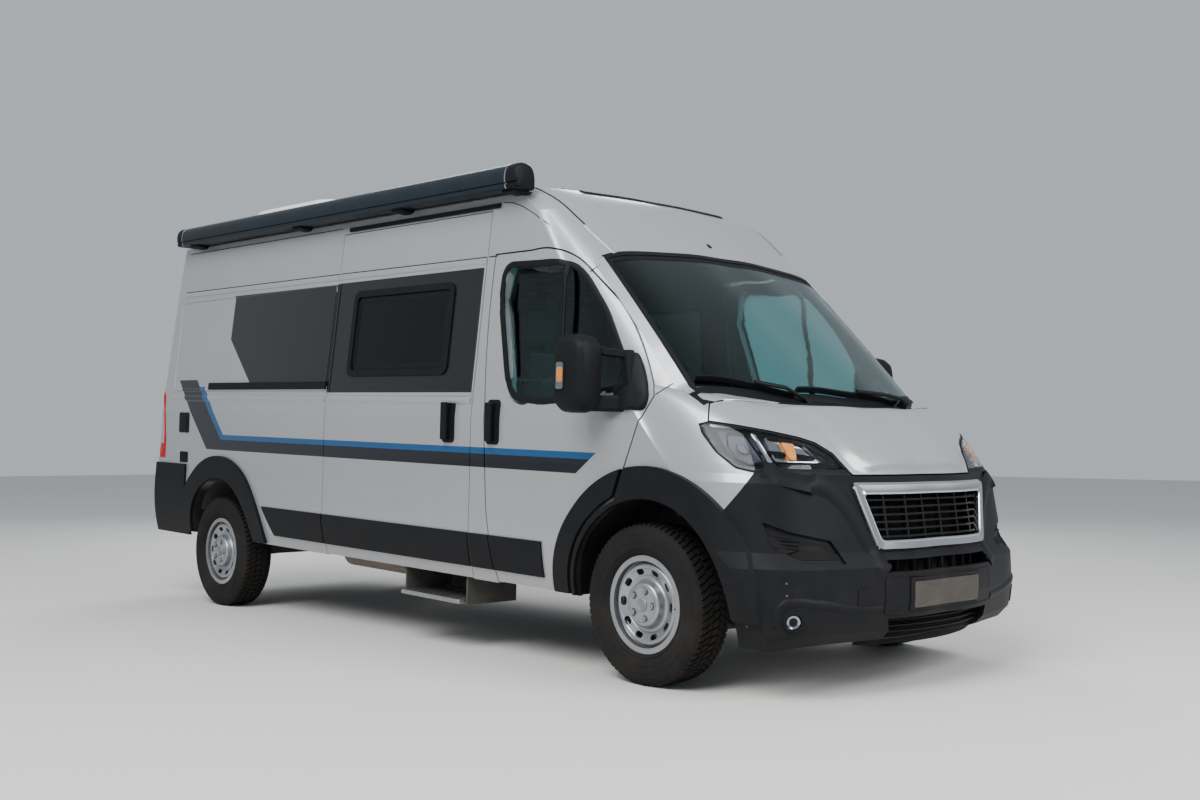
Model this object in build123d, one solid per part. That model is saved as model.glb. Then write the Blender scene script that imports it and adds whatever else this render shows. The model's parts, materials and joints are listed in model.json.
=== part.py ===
from build123d import *
from functools import lru_cache
import math
import os

os.makedirs("parts", exist_ok=True)

# A long high-roofed panel van fitted out as a camper, left-hand drive, sliding door on its right side.
# Millimetres; +X forward, +Y left, +Z up. The body is drawn level, with the front hubs at BODY_HUB_Z,
# and the whole vehicle is then tipped nose down by its stance, so that all four tyres touch z = 0.

# Overall sizes
LENGTH = 5998.0
HALF_WIDTH = 1022.0
WHEELBASE = 4035.0
FRONT_OVERHANG = 948.0
BODY_HUB_Z = 354.0
REAR_HUB_DROP = 109.0
ROOF_Z = 2412.0
SILL_Z = 340.0
FLOOR_TOP_Z = 560.0
FLOOR_THICK = 60.0

# Panel thicknesses and gaps
WALL = 60.0
SHEET = 25.0
GLASS_IN = 4.0
GLASS = 8.0
GAP = 7.0
PIN_GAP = 0.5

# Wheels
TYRE_R = 366.0
TYRE_W = 220.0
TREAD_W = 176.0
WHEEL_HOLES = 10
STUDS = 5
STUD_PCD = 130.0
STUB_R = 24.0
NUT_R = 12.0
NUT_PROUD = 11.0
FRONT_WHEEL_Y = 905.0
REAR_WHEEL_Y = 895.0

# Steering
KINGPIN_LOW_Y = 800.0
KINGPIN_LOW_Z = 222.0
KINGPIN_TOP_Y = 640.0
KINGPIN_TOP_Z = 1000.0
BALL_PIN_R = 10.0
STRUT_R = 26.0
SPRING_SEAT_Z = 748.0

# Doors
SLIDING_DOOR_X = (-655.0, 785.0)
REAR_DOOR_HALF = 781.0
REAR_DOOR_Z = (548.0, 2330.0)
REAR_DOOR_WALL = 45.0
REAR_DOOR_SPLIT = 8.0
DOOR_INNER_Y = -880.0
DOOR_GAP = 8.5
DOOR_INNER_GAP = 17.0
DOOR_SKIN = 22.0
FLARE_GAP = 12.0
SLIDING_GAP = 5.0
SLIDING_TOP_Z = 2280.0

# Side windows
WINDOW_Z = (1426, 1902)
WINDOW_CORNER = 40
WINDOWS_RIGHT = ((-437.0, 515.0),)
WINDOWS_LEFT = ((-2480.0, -1780.0), (-250.0, 650.0))

# Lamps at the tail
TAIL_LAMP_Z = (825.0, 1335.0)
TAIL_LAMP_Y = 868.0

# Trim that stands proud of the panels
FLARE_PROUD = 22.0
STRIP_PROUD = 10.0
FLARE_WIDTH = 148.0
STRIP_Z = (406.0, 584.0)
FRAME_PROUD = 9.0
BUMPER_PROUD = 16.0
MIRROR_X = (1696.0, 1830.0)
MIRROR_Y = (-1254.0, -1072.0)
MIRROR_Z = (1232.0, 1618.0)
MIRROR_BASE = ((1705, 1235), (1975, 1235), (2040, 1298), (1965, 1440), (1918, 1400), (1900, 1325), (1705, 1300))

# Underfloor and tow points
TOW_THREAD = (-543.0, 451.0)
TOW_THREAD_R = 9.5
TOW_COVER = 31.0
TOW_EYE = (-2940.0, -408.0, 270.0)
TOW_EYE_R = 17.0
RAIL_Y = (466.0, 534.0)
RAIL_Z = (400.0, 505.0)
CROSS_MEMBERS = (-2560.0, -1330.0, -620.0, 200.0, 1000.0)
STEP_X = (150.0, 694.0)
STEP_Z = (197.0, 222.0)

# Cab
CAB_HALF = 905.0
SEAT_Y = 420.0
WHEEL_CENTRE = Vector(1330, SEAT_Y, 1130)
COLUMN = Vector(-0.5, 0, math.sqrt(0.75))

# Awning
AWNING_X = (-2712.0, 1104.0)
AWNING = ((-985, 2362), (-1006, 2408, -972, 2454), (-905, 2464), (-872, 2460, -866, 2430), (-866, 2362))
AWNING_CAP = ((-992, 2356), (-1018, 2408, -975, 2462), (-902, 2472), (-864, 2468, -858, 2430), (-858, 2356))
AWNING_CAP_WIDTH = 28.0

# Stance
CENTRE_SHIFT = 4.5

FRONT_AXLE_X = LENGTH / 2 - FRONT_OVERHANG
STANCE = math.degrees(math.asin(REAR_HUB_DROP / WHEELBASE))
REAR_AXLE_X = FRONT_AXLE_X - WHEELBASE * math.cos(math.radians(STANCE))
REAR_HUB_Z = BODY_HUB_Z - REAR_HUB_DROP
NOSE_X = LENGTH / 2 - 6
TAIL_X = -LENGTH / 2 + 22


def solids_in(result):
    """The solids of a boolean's result, whatever form it comes in."""
    if result is None:
        return []
    if isinstance(result, (list, tuple)):
        return [solid for item in result for solid in item.solids()]
    return list(result.solids())


def group(*shapes):
    return Compound([solid for shape in shapes for solid in solids_in(shape)])


def cut(base, *tools):
    return group(base.cut(*[solid for tool in tools for solid in solids_in(tool)]))


def common(base, tool):
    return group(*[base.intersect(solid) for solid in solids_in(tool)])


def between(thick, thin, region):
    """The part of a region that lies inside one envelope and outside a thinner one."""
    return cut(common(envelope(thick), region), envelope(thin))


def join(*shapes):
    solids = [solid for shape in shapes for solid in solids_in(shape)]
    if len(solids) == 1:
        return group(solids[0])
    return group(solids[0].fuse(*solids[1:]))


def mirrored(shape):
    return group(*[solid.mirror(Plane.XZ) for solid in solids_in(shape)])


def both_sides(shape):
    return group(shape, mirrored(shape))


def edges_of(place, start, moves):
    """A closed outline: a pair goes straight to a point, four values go by an arc's middle to its end."""
    here = place(*start)
    first = here
    edges = []
    for move in moves:
        there = place(*move[-2:])
        if len(move) == 2:
            edges.append(Line(here, there))
        else:
            edges.append(ThreePointArc(here, place(*move[:2]), there))
        here = there
    if (Vector(*here) - Vector(*first)).length > 1e-6:
        edges.append(Line(here, first))
    return edges


def outline_face(place, start, *moves, inset=0.0):
    face = Face(Wire(edges_of(place, start, moves)))
    if inset:
        face = offset(face, amount=-inset, kind=Kind.INTERSECTION).face()
    return face


def side_prism(y_from, y_to, start, *moves, inset=0.0):
    """A solid with its outline in the side view, points being x, z."""
    face = outline_face(lambda x, z: (x, y_from, z), start, *moves, inset=inset)
    return Solid.extrude(face, Vector(0, y_to - y_from, 0))


def front_prism(x_from, x_to, start, *moves, inset=0.0):
    """A solid with its outline in the front view, points being y, z."""
    face = outline_face(lambda y, z: (x_from, y, z), start, *moves, inset=inset)
    return Solid.extrude(face, Vector(x_to - x_from, 0, 0))


def plan_prism(z_from, z_to, start, *moves, inset=0.0):
    """A solid with its outline in the plan view, points being x, y."""
    face = outline_face(lambda x, y: (x, y, z_from), start, *moves, inset=inset)
    return Solid.extrude(face, Vector(0, 0, z_to - z_from))


def block(x_from, x_to, y_from, y_to, z_from, z_to):
    box = Solid.make_box(x_to - x_from, y_to - y_from, z_to - z_from)
    return box.moved(Location((x_from, y_from, z_from)))


def rounded_block(x_from, x_to, y_from, y_to, z_from, z_to, radius):
    box = block(x_from, x_to, y_from, y_to, z_from, z_to)
    return box.fillet(radius, box.edges())


def rod(start, end, radius):
    start, end = Vector(*start), Vector(*end)
    return Solid.make_cylinder(radius, (end - start).length, Plane(origin=start, z_dir=end - start))


def ring(start, end, outer, inner):
    return rod(start, end, outer).cut(rod(start, end, inner))


# Body envelope

# Half of the body's cross-section from the underside to the roof crown
SECTION = (
    # move, across, up, thinned across, thinned up
    ("line", 925, 225, 1.0, 0.0),
    ("line", 968, 325, 1.0, 0.0),
    ("mid", 1006, 480, 1.0, 0.0),
    ("end", 1020, 760, 1.0, 0.0),
    ("line", HALF_WIDTH, 972, 1.0, 0.0),
    ("line", 1020, 1300, 1.0, 0.0),
    ("line", 1007, 1342, 1.0, 0.0),
    ("line", 945, 2065, 1.0, 0.1),
    ("line", 918, 2290, 1.0, 0.2),
    ("mid", 899, 2352, 0.8, 0.5),
    ("end", 845, 2386, 0.5, 0.8),
    ("mid", 430, 2405, 0.2, 0.8),
    ("end", 0, ROOF_Z, 0.0, 0.8),
)

# The side view of the nose, windscreen and roof on the centre line
PROFILE = (
    # move, forward, up, thinned forward, thinned up, share of the plan's curve, rise with it
    ("line", 2900, 225, 1.0, 0.0, 1.0, 0.0),
    ("line", 2972, 300, 1.0, 0.0, 1.0, 0.0),
    ("line", NOSE_X, 430, 1.0, 0.0, 1.0, 0.0),
    ("line", 2990, 575, 1.0, 0.0, 1.0, 0.0),
    ("line", 2940, 640, 1.0, 0.1, 1.0, 0.0),
    ("line", 2893, 930, 1.0, 0.2, 1.0, 0.0),
    ("line", 2856, 968, 0.8, 0.6, 1.0, 0.0),
    ("mid", 2700, 1165, 0.7, 0.7, 1.0, 0.05),
    ("end", 2440, 1285, 0.5, 1.0, 0.95, 0.16),
    ("mid", 1915, 1788, 0.7, 0.75, 0.6, 0.0),
    ("end", 1350, 2251, 0.6, 0.8, 0.3, 0.0),
    ("mid", 1178, 2366, 0.4, 0.9, 0.3, 0.0),
    ("end", 950, ROOF_Z + 28, 0.0, 1.0, 0.3, 0.0),
)

# The plan view: how far the nose and the tail draw back away from the centre line
PLAN = (
    # across, nose back, tail forward
    (0, 0, 0),
    (350, 18, 3),
    (650, 92, 12),
    (850, 186, 30),
    (950, 330, 60),
    (1040, 690, 130),
)
LEAN_FROM_Z = 1000.0
LEAN_PER_MM = 1.0e-4


def cross_section(thin):
    """The body's cross-section extruded over its length, thinned all round except below."""
    low_z = 225 if thin == 0 else 100
    half = [(move, y - thin * dy, z - thin * dz) for move, y, z, dy, dz in SECTION]
    half[0] = ("line", half[0][1], low_z)
    moves = []
    for index, (move, y, z) in enumerate(half):
        if move == "mid":
            moves.append((y, z) + half[index + 1][1:])
        elif move == "line":
            moves.append((y, z))
    right = list(moves)
    back = []
    stops = [(0, low_z)] + [move[-2:] for move in right]
    for move, stop in zip(reversed(right), reversed(stops[:-1])):
        middle = () if len(move) == 2 else (-move[0], move[1])
        back.append(middle + (-stop[0], stop[1]))
    return front_prism(TAIL_X - 40, NOSE_X + 40, (0, low_z), *right, *back)


def profile_wire(across, nose_back, tail_forward, thin):
    """The side view at one distance across, in a plane that leans in with the body's side."""
    across = across * (1 - thin / HALF_WIDTH)
    low_z = 225 if thin == 0 else 100

    def place(x, z):
        return (x, across * (1 - LEAN_PER_MM * (z - LEAN_FROM_Z)), z)

    points = []
    for move, x, z, dx, dz, share, rise in PROFILE:
        z = low_z if move == "line" and z == 225 else z - thin * dz + rise * nose_back
        points.append((move, x - thin * dx - share * nose_back, z))
    moves = []
    for index, (move, x, z) in enumerate(points):
        if move == "mid":
            moves.append((x, z) + points[index + 1][1:])
        elif move == "line":
            moves.append((x, z))
    tail = TAIL_X + thin + tail_forward
    top_z = ROOF_Z + 28 - thin
    moves += [(tail + 70, top_z), (tail + 40, 2100), (tail, 1300), (tail, low_z)]
    return Wire(edges_of(place, (tail, low_z), moves))


@lru_cache(maxsize=None)
def envelope(thin):
    """The body's outer form, or one thinned evenly inside it."""
    stations = [(-across, nose, tail) for across, nose, tail in reversed(PLAN[1:])]
    stations += [(across, nose, tail) for across, nose, tail in PLAN]
    nose_form = Solid.make_loft([profile_wire(*station, thin) for station in stations])
    return group(cross_section(thin).intersect(nose_form))


outer = envelope(0)
wall_shell = cut(outer, envelope(WALL))
sheet_shell = cut(outer, envelope(SHEET))
glass_shell = cut(envelope(GLASS_IN), envelope(GLASS_IN + GLASS))
rebate_shell = cut(outer, envelope(GLASS_IN + GLASS))

FAR = 1300.0
RIGHT = (-FAR, -600.0)

# Outlines in the side view
FRONT_ARCH = (2085.0, 345.0, 490.0)
REAR_ARCH = (-1960.0, 300.0, 440.0)
DOOR_ARCH_R = 525.0


def arch_hole(arch, extra=0.0, y_from=-FAR, y_to=FAR):
    x, z, radius = arch
    return rod((x, y_from, z), (x, y_to, z), radius + extra)


def on_arch(x, radius):
    centre_x, centre_z, _ = FRONT_ARCH
    return (x, centre_z + math.sqrt(radius ** 2 - (x - centre_x) ** 2))

DOOR_FOOT = (FRONT_ARCH[0] - math.sqrt(DOOR_ARCH_R ** 2 - (SILL_Z - FRONT_ARCH[1]) ** 2), SILL_Z)
DOOR_KNEE = on_arch(1880, DOOR_ARCH_R)
FRONT_DOOR = (
    (985, SILL_Z),
    (955, 532, 915, 761),
    (881, 1275),
    (842, 1800, 848, 2045),
    (1150, 2045),
    (1370, 2025, 1530, 1935),
    (1741, 1764),
    (1930, 1545, 2070, 1300),
    (1932, 958),
    DOOR_KNEE,
    on_arch(1680, DOOR_ARCH_R) + DOOR_FOOT,
)
DOOR_WINDOW = (
    (975, 1978),
    (1353, 1966),
    (1450, 1950, 1530, 1885),
    (1700, 1700, 1895, 1400),
    (1880, 1335),
    (1420, 1272),
    (1250, 1272),
    (1090, 1290, 1055, 1390),
    (935, 1790),
)
SLIDING_DOOR = (
    (SLIDING_DOOR_X[0], SILL_Z),
    (SLIDING_DOOR_X[1], SILL_Z),
    (SLIDING_DOOR_X[1], SLIDING_TOP_Z),
    (SLIDING_DOOR_X[0], SLIDING_TOP_Z),
)

ON_DOOR_ARC = on_arch(1680, DOOR_ARCH_R)

def window_outline(low_x, high_x, low_z, high_z, radius):
    """A rectangle with rounded corners, as an outline."""
    turn = radius * (1 - math.sqrt(0.5))
    return (
        (low_x, low_z + radius),
        (low_x + turn, low_z + turn, low_x + radius, low_z),
        (high_x - radius, low_z),
        (high_x - turn, low_z + turn, high_x, low_z + radius),
        (high_x, high_z - radius),
        (high_x - turn, high_z - turn, high_x - radius, high_z),
        (low_x + radius, high_z),
        (low_x + turn, high_z - turn, low_x, high_z - radius),
    )

REAR_WINDOW = window_outline(-690, -120, 1380, 1960, 60)

# Windscreen, drawn square to the glass: s runs up the slope and y across
SLOPE = math.radians(41.5)
SCREEN_TOP_S = 152.0
SLOPE_LIFT = (2400.0, 2900.0)


def slope_prism(start, *moves):
    low, high = SLOPE_LIFT

    def place(s, y):
        return (low * math.sin(SLOPE) - s * math.cos(SLOPE), y, low * math.cos(SLOPE) + s * math.sin(SLOPE))

    face = outline_face(place, start, *moves)
    return Solid.extrude(face, Vector((high - low) * math.sin(SLOPE), 0, (high - low) * math.cos(SLOPE)))


def screen_outline(border):
    top = SCREEN_TOP_S - border
    low = -795.0 + border
    middle = -975.0 + border
    return ((top, -855 + border), (top, 855 - border), (low, 903 - border), (middle, 0, low, -903 + border))


screen_prism = slope_prism(*screen_outline(0))
screen_hole = slope_prism(*screen_outline(45))
screen_rebate = common(rebate_shell, screen_prism)

# Corner view, along a level line at 50 degrees to the vehicle: u runs to the front, z up
CORNER_VIEW = math.radians(50)
CORNER_FROM = -3600.0
CORNER_LENGTH = 3400.0


def corner_prism(start, *moves, inset=0.0):
    """A solid on the right half whose outline is drawn in the corner view."""
    sine, cosine = math.sin(CORNER_VIEW), math.cos(CORNER_VIEW)

    def place(u, z):
        return (u * sine - CORNER_FROM * cosine, u * cosine + CORNER_FROM * sine, z)

    face = outline_face(place, start, *moves, inset=inset)
    solid = Solid.extrude(face, Vector(-CORNER_LENGTH * cosine, CORNER_LENGTH * sine, 0))
    return common(solid, block(0, 3400, -FAR, 0, 0, 3000))

LAMP_TOP = ((1209, 1188), (1335, 1172), (1482, 1149), (1607, 1124), (1679, 1102), (1755, 1057), (1829, 979))
LAMP_LOW = ((1779, 984), (1464, 989), (1417, 975), (1339, 990), (1251, 1057), (1186, 1138))
BUMPER_TOP = ((1282, 802), (1358, 895), (1417, 975), (1464, 989), (1779, 984), (1829, 979), (1846, 964),
              (2500, 964))
BONNET_CORNER = (LAMP_TOP[0], *LAMP_TOP[1:], (1846, 964), (2500, 964), (2500, 1700), (1218, 1700))
BONNET_REAR = ((2312, -905), (2450, -480, 2488, GAP))
lamp_prism = corner_prism((1168, 1179), *LAMP_TOP, *LAMP_LOW)
bumper_prism = corner_prism((1100, 150), (1120, 690), (1190, 750), *BUMPER_TOP, (2500, 150))
BONNET_PLAN = (BONNET_REAR[0], BONNET_REAR[1], (3100, GAP), (3100, -1100), (2312, -1100))
bonnet_plan = plan_prism(800, 1600, *BONNET_PLAN)
bonnet_region = common(corner_prism(*BONNET_CORNER), bonnet_plan)
scuttle_region = plan_prism(1180, 1420, (2150, -903), *BONNET_REAR, (2150, GAP))
side_region = side_prism(-FAR, FAR, (2240, 1347), (2070, 1300), (1900, 1200), (1900, 1600))

# Roof: everything above the gutter, and the forehead between the two ditches down to the windscreen
GUTTER_Z = 2335.0
DITCH_Y = 838.0
above_gutter = block(-3100, 1500, -FAR, FAR, GUTTER_Z, 2600)
above_header = slope_prism((SCREEN_TOP_S, -FAR), (SCREEN_TOP_S, FAR), (SCREEN_TOP_S + 1500, FAR),
                           (SCREEN_TOP_S + 1500, -FAR))
forehead = common(above_header, block(900, 2600, -DITCH_Y, DITCH_Y, 1500, 2600))
roof_region = join(above_gutter, forehead)

tail_lamp_region = block(-3100, -2885, -FAR, -TAIL_LAMP_Y, *TAIL_LAMP_Z)

GRILLE = ((-522, 926), (-425, 648), (425, 648), (522, 926))
GRILLE_INNER = ((-462, 882), (-392, 690), (392, 690), (462, 882))
grille_opening = front_prism(2700, 3100, *GRILLE)
bumper_openings = [
    front_prism(2700, 3100, (-424, 552), (-424, 604), (424, 604), (424, 552)),
    front_prism(2700, 3100, (-380, 262), (-400, 350), (400, 350), (380, 262)),
    corner_prism((1560, 335), (1592, 322, 1624, 335), (1630, 359), (1624, 383), (1592, 396, 1560, 383), (1552, 359)),
]

BUMPER_RECESS = ((1455, 768), (1576, 729), (1747, 691), (1816, 595), (1621, 601), (1491, 683))
RECESS_DEPTH = 12.0

# Everything ahead of the front doors and below the windscreen
NOSE_OUTLINE = ((3100, 1347), (2240, 1347), (2070, 1300), (1932, 958), DOOR_KNEE, ON_DOOR_ARC + DOOR_FOOT,
                (DOOR_FOOT[0], 100), (3100, 100))


def hull_panels():
    """The body's own panels and its doors, cut from the shells along their real shut lines."""
    panels = {}
    panels["roof_panel"] = cut(common(wall_shell, roof_region), screen_hole)
    cut_for_nose = side_prism(-FAR, FAR, *NOSE_OUTLINE)
    side = common(wall_shell, block(-3100, 3100, -FAR, -REAR_DOOR_HALF - GAP, SILL_Z, 2500))
    side = cut(side, roof_region, cut_for_nose, screen_hole, screen_rebate, arch_hole(REAR_ARCH), tail_lamp_region,
               side_prism(*RIGHT, *FRONT_DOOR))
    left_side = mirrored(side)
    for low, high in WINDOWS_LEFT:
        opening = side_prism(*RIGHT, *window_outline(low, high, *WINDOW_Z, WINDOW_CORNER))
        left_side = cut(left_side, mirrored(opening))
    panels["side_frame_right"] = cut(side, side_prism(*RIGHT, *SLIDING_DOOR))
    panels["side_frame_left"] = left_side
    sliding = common(wall_shell, side_prism(*RIGHT, *SLIDING_DOOR, inset=SLIDING_GAP))
    for low, high in WINDOWS_RIGHT:
        sliding = cut(sliding, side_prism(*RIGHT, *window_outline(low, high, *WINDOW_Z, WINDOW_CORNER)))
    panels["sliding_door"] = sliding
    door_skin = between(0, DOOR_SKIN, side_prism(-FAR, DOOR_INNER_Y, *FRONT_DOOR, inset=DOOR_GAP))
    door_inside = side_prism(-FAR, DOOR_INNER_Y, *FRONT_DOOR, inset=DOOR_INNER_GAP)
    door = join(door_skin, between(DOOR_SKIN, WALL, door_inside))
    door = cut(door, slope_prism(*screen_outline(-GAP)))
    panels["front_door_right"] = cut(door, side_prism(*RIGHT, *DOOR_WINDOW))
    panels["front_door_right_glass"] = common(glass_shell, side_prism(*RIGHT, *DOOR_WINDOW))
    rear = between(0, REAR_DOOR_WALL, block(-3100, -2800, -REAR_DOOR_HALF, -REAR_DOOR_SPLIT, *REAR_DOOR_Z))
    rear_window = front_prism(-3100, -2800, *REAR_WINDOW)
    panels["rear_door_right"] = cut(rear, rear_window)
    panels["rear_door_right_window"] = common(glass_shell, rear_window)
    for name in ("front_door_right", "front_door_right_glass", "rear_door_right", "rear_door_right_window"):
        panels[name.replace("right", "left")] = mirrored(panels[name])
    panels["windscreen"] = common(glass_shell, screen_prism)
    return panels


def nose_panels():
    """Bonnet, wings, bumper and scuttle, drawn on the right half and mirrored."""
    panels = {}
    bonnet_inside = plan_prism(800, 1600, *BONNET_PLAN, inset=GAP)
    bonnet = common(common(sheet_shell, corner_prism(*BONNET_CORNER, inset=GAP)), bonnet_inside)
    panels["bonnet"] = join(bonnet, mirrored(bonnet))
    bumper = cut(common(sheet_shell, bumper_prism), arch_hole(FRONT_ARCH), grille_opening, *bumper_openings)
    bumper = cut(bumper, between(0, RECESS_DEPTH, corner_prism(*BUMPER_RECESS)))
    y, z = TOW_THREAD
    tow_hole = block(2700, 3100, y - TOW_COVER, y + TOW_COVER, z - TOW_COVER, z + TOW_COVER)
    panels["front_bumper"] = cut(join(bumper, mirrored(bumper)), tow_hole)
    wing = common(sheet_shell, side_prism(-FAR, -700, (2240, 1347), (2070, 1300), (1932, 958), DOOR_KNEE,
                                          ON_DOOR_ARC + DOOR_FOOT, (1640, SILL_Z), (2700, SILL_Z), (2700, 1347)))
    wing = cut(wing, bumper_prism, lamp_prism, bonnet_region, scuttle_region, arch_hole(FRONT_ARCH), screen_prism)
    panels["front_wings"] = both_sides(wing)
    scuttle = cut(common(sheet_shell, scuttle_region), screen_prism, bonnet_region, side_region)
    panels["scuttle_panel"] = join(scuttle, mirrored(scuttle))
    return panels

RIGHT_PROUD = (-FAR, -790.0)


def proud(height, region):
    """What stands proud of the skin by a height, over a region."""
    return between(-height, 0, region)


def flare_ring(arch):
    x, z, radius = arch
    disc = rod((x, -FAR, z), (x, -790, z), radius + FLARE_WIDTH)
    return common(cut(disc, arch_hole(arch)), block(-2440, 3100, -FAR, 0, SILL_Z + 5, 2000))


def strip_bar(x_from, x_to, slant=0.0):
    low, high = STRIP_Z
    return side_prism(*RIGHT_PROUD, (x_from + slant, low), (x_to, low), (x_to, high), (x_from, high))


def trim_pieces():
    """Wheel-arch flares and rub strips, split at the doors they ride on."""
    door_inside = side_prism(*RIGHT_PROUD, *FRONT_DOOR, inset=DOOR_GAP)
    door_region = side_prism(*RIGHT_PROUD, *FRONT_DOOR)
    front_flare = proud(FLARE_PROUD, flare_ring(FRONT_ARCH))
    rear_flare = proud(FLARE_PROUD, flare_ring(REAR_ARCH))
    low, high = SLIDING_DOOR_X
    bars = join(strip_bar(-1380, low - GAP, 130), cut(strip_bar(high + GAP, 1000), door_region),
                strip_bar(low + GAP, high - GAP))
    door_bar = cut(common(strip_bar(800, 1366), door_inside), flare_ring(FRONT_ARCH))
    door_sweep = side_prism(*RIGHT_PROUD, *FRONT_DOOR, inset=-FLARE_GAP)
    fixed_flares = group(cut(front_flare, door_sweep), rear_flare)
    return fixed_flares, common(front_flare, door_inside), proud(STRIP_PROUD, door_bar), proud(STRIP_PROUD, bars)


def handle(x, z):
    """A door pull: a flat escutcheon with an upright grip bowed off it."""
    plate = proud(5, side_prism(*RIGHT_PROUD, *window_outline(x - 52, x + 52, z - 115, z + 115, 24)))
    skin = -HALF_WIDTH + 2
    grip = rounded_block(x - 24, x + 24, skin - 44, skin - 20, z - 100, z + 100, 9)
    feet = [block(x - 16, x + 16, skin - 30, skin + 1, z + end * 82 - 14, z + end * 82 + 14) for end in (-1, 1)]
    return cut(join(plate, grip, *feet), outer)


def door_mirror():
    """The outside mirror: base on the door's front corner, two arms and a deep housing with two panes."""
    base = proud(STRIP_PROUD, side_prism(*RIGHT_PROUD, *MIRROR_BASE))
    housing = rounded_block(*MIRROR_X, *MIRROR_Y, *MIRROR_Z, 34)
    arms = [rounded_block(1800, 1935, MIRROR_Y[1] - 40, -985, z - 32, z + 32, 12) for z in (1300, 1372)]
    low_y, high_y = MIRROR_Y[0] + 18, MIRROR_Y[1] - 18
    low_z, high_z = MIRROR_Z[0] + 18, MIRROR_Z[1] - 18
    split = low_z + 100
    recesses = [block(MIRROR_X[0] - 5, MIRROR_X[0] + 8, low_y, high_y, low, high)
                for low, high in ((low_z, split - 4), (split + 4, high_z))]
    return cut(join(base, cut(join(housing, *arms), outer)), *recesses)


def side_window(low_x, high_x):
    """A hinged acrylic window on the right side: its proud frame through the wall, and its pane."""
    around = window_outline(low_x - 16, high_x + 16, WINDOW_Z[0] - 16, WINDOW_Z[1] + 16, WINDOW_CORNER + 16)
    inside = window_outline(low_x + 22, high_x - 22, WINDOW_Z[0] + 22, WINDOW_Z[1] - 22, WINDOW_CORNER - 18)
    opening = side_prism(*RIGHT_PROUD, *window_outline(low_x, high_x, *WINDOW_Z, WINDOW_CORNER))
    seat = join(proud(FRAME_PROUD, side_prism(*RIGHT_PROUD, *around)), common(wall_shell, opening))
    hole = side_prism(*RIGHT_PROUD, *inside)
    return cut(seat, hole), common(glass_shell, hole)


def side_windows():
    frames = []
    panes = []
    for low, high in WINDOWS_RIGHT:
        frame, pane = side_window(low, high)
        frames.append(frame)
        panes.append(pane)
    for low, high in WINDOWS_LEFT:
        frame, pane = side_window(low, high)
        frames.append(mirrored(frame))
        panes.append(mirrored(pane))
    return group(*frames), group(*panes)


# Wheels


def revolved(start, *moves):
    """Turned about the wheel's axis through the origin; points are radius and place along y, outside at -y."""
    face = outline_face(lambda r, y: (r, y, 0), start, *moves)
    return Solid.revolve(face, 360, Axis.Y)


def tyre():
    shoulder, half = TREAD_W / 2, TYRE_W / 2
    return revolved(
        (204, -56), (204, -78), (222, -80), (236, -half + 12),
        (288, -half, 336, -half + 8), (TYRE_R - 8, -shoulder - 6, TYRE_R, -shoulder + 16),
        (TYRE_R, shoulder - 16), (TYRE_R - 8, shoulder + 6, 336, half - 8),
        (288, half, 236, half - 12), (222, 80), (204, 78), (204, 56),
        (222, 58), (286, half - 16, 346, shoulder - 20), (346, -shoulder + 20), (286, -half + 16, 222, -58),
    )


def road_wheel():
    """Pressed steel wheel with its hand holes, nuts and raised centre, its hub and its brake disc."""
    barrel = revolved(
        (222, -86), (222, -80), (204, -78), (204, -52), (182, -36), (182, 28), (204, 50), (204, 78), (222, 80),
        (222, 86), (197, 86), (197, 54), (175, 32), (175, -40), (197, -56), (197, -86),
    )
    dish = revolved(
        (0, -98), (84, -98), (96, -94, 102, -82), (108, -62), (118, -54, 132, -58), (160, -70),
        (178, -74, 186, -60), (186, -40), (178, -40), (176, -60, 160, -62), (130, -50), (116, -46, 100, -56),
        (94, -80), (90, -88, 82, -90), (0, -90),
    )
    holes = []
    for step in range(WHEEL_HOLES):
        angle = 360 * step / WHEEL_HOLES
        slot = rod((150, -100, 9), (150, -20, 9), 13).fuse(rod((150, -100, -9), (150, -20, -9), 13),
                                                            block(137, 163, -100, -20, -9, 9))
        holes += [solid.rotate(Axis.Y, angle) for solid in solids_in(slot)]
    hub = revolved((STUB_R + PIN_GAP, 20), (STUB_R + PIN_GAP, -84), (62, -84), (62, -90), (80, -90), (80, -60),
                   (62, -40), (62, 8), (150, 8), (150, 30), (72, 30), (72, 20))
    nuts = []
    for step in range(STUDS):
        nut = rod((STUD_PCD / 2, -98 - NUT_PROUD, 0), (STUD_PCD / 2, -96, 0), NUT_R)
        nuts += [solid.rotate(Axis.Y, 360 * step / STUDS) for solid in solids_in(nut)]
    return join(cut(join(barrel, dish), *holes), hub, *nuts)


def placed(shape, x, y, z):
    """A wheel piece moved to its hub; on the left side it is turned round so that its outside faces out."""
    turned = mirrored(shape) if y > 0 else shape
    return group(*[solid.moved(Location((x, y, z))) for solid in solids_in(turned)])


# Suspension and steering

def kingpin(z, side=-1.0):
    """The point of the inclined steering axis at one height."""
    share = (z - KINGPIN_LOW_Z) / (KINGPIN_TOP_Z - KINGPIN_LOW_Z)
    return (FRONT_AXLE_X, side * (KINGPIN_LOW_Y + share * (KINGPIN_TOP_Y - KINGPIN_LOW_Y)), z)


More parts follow.
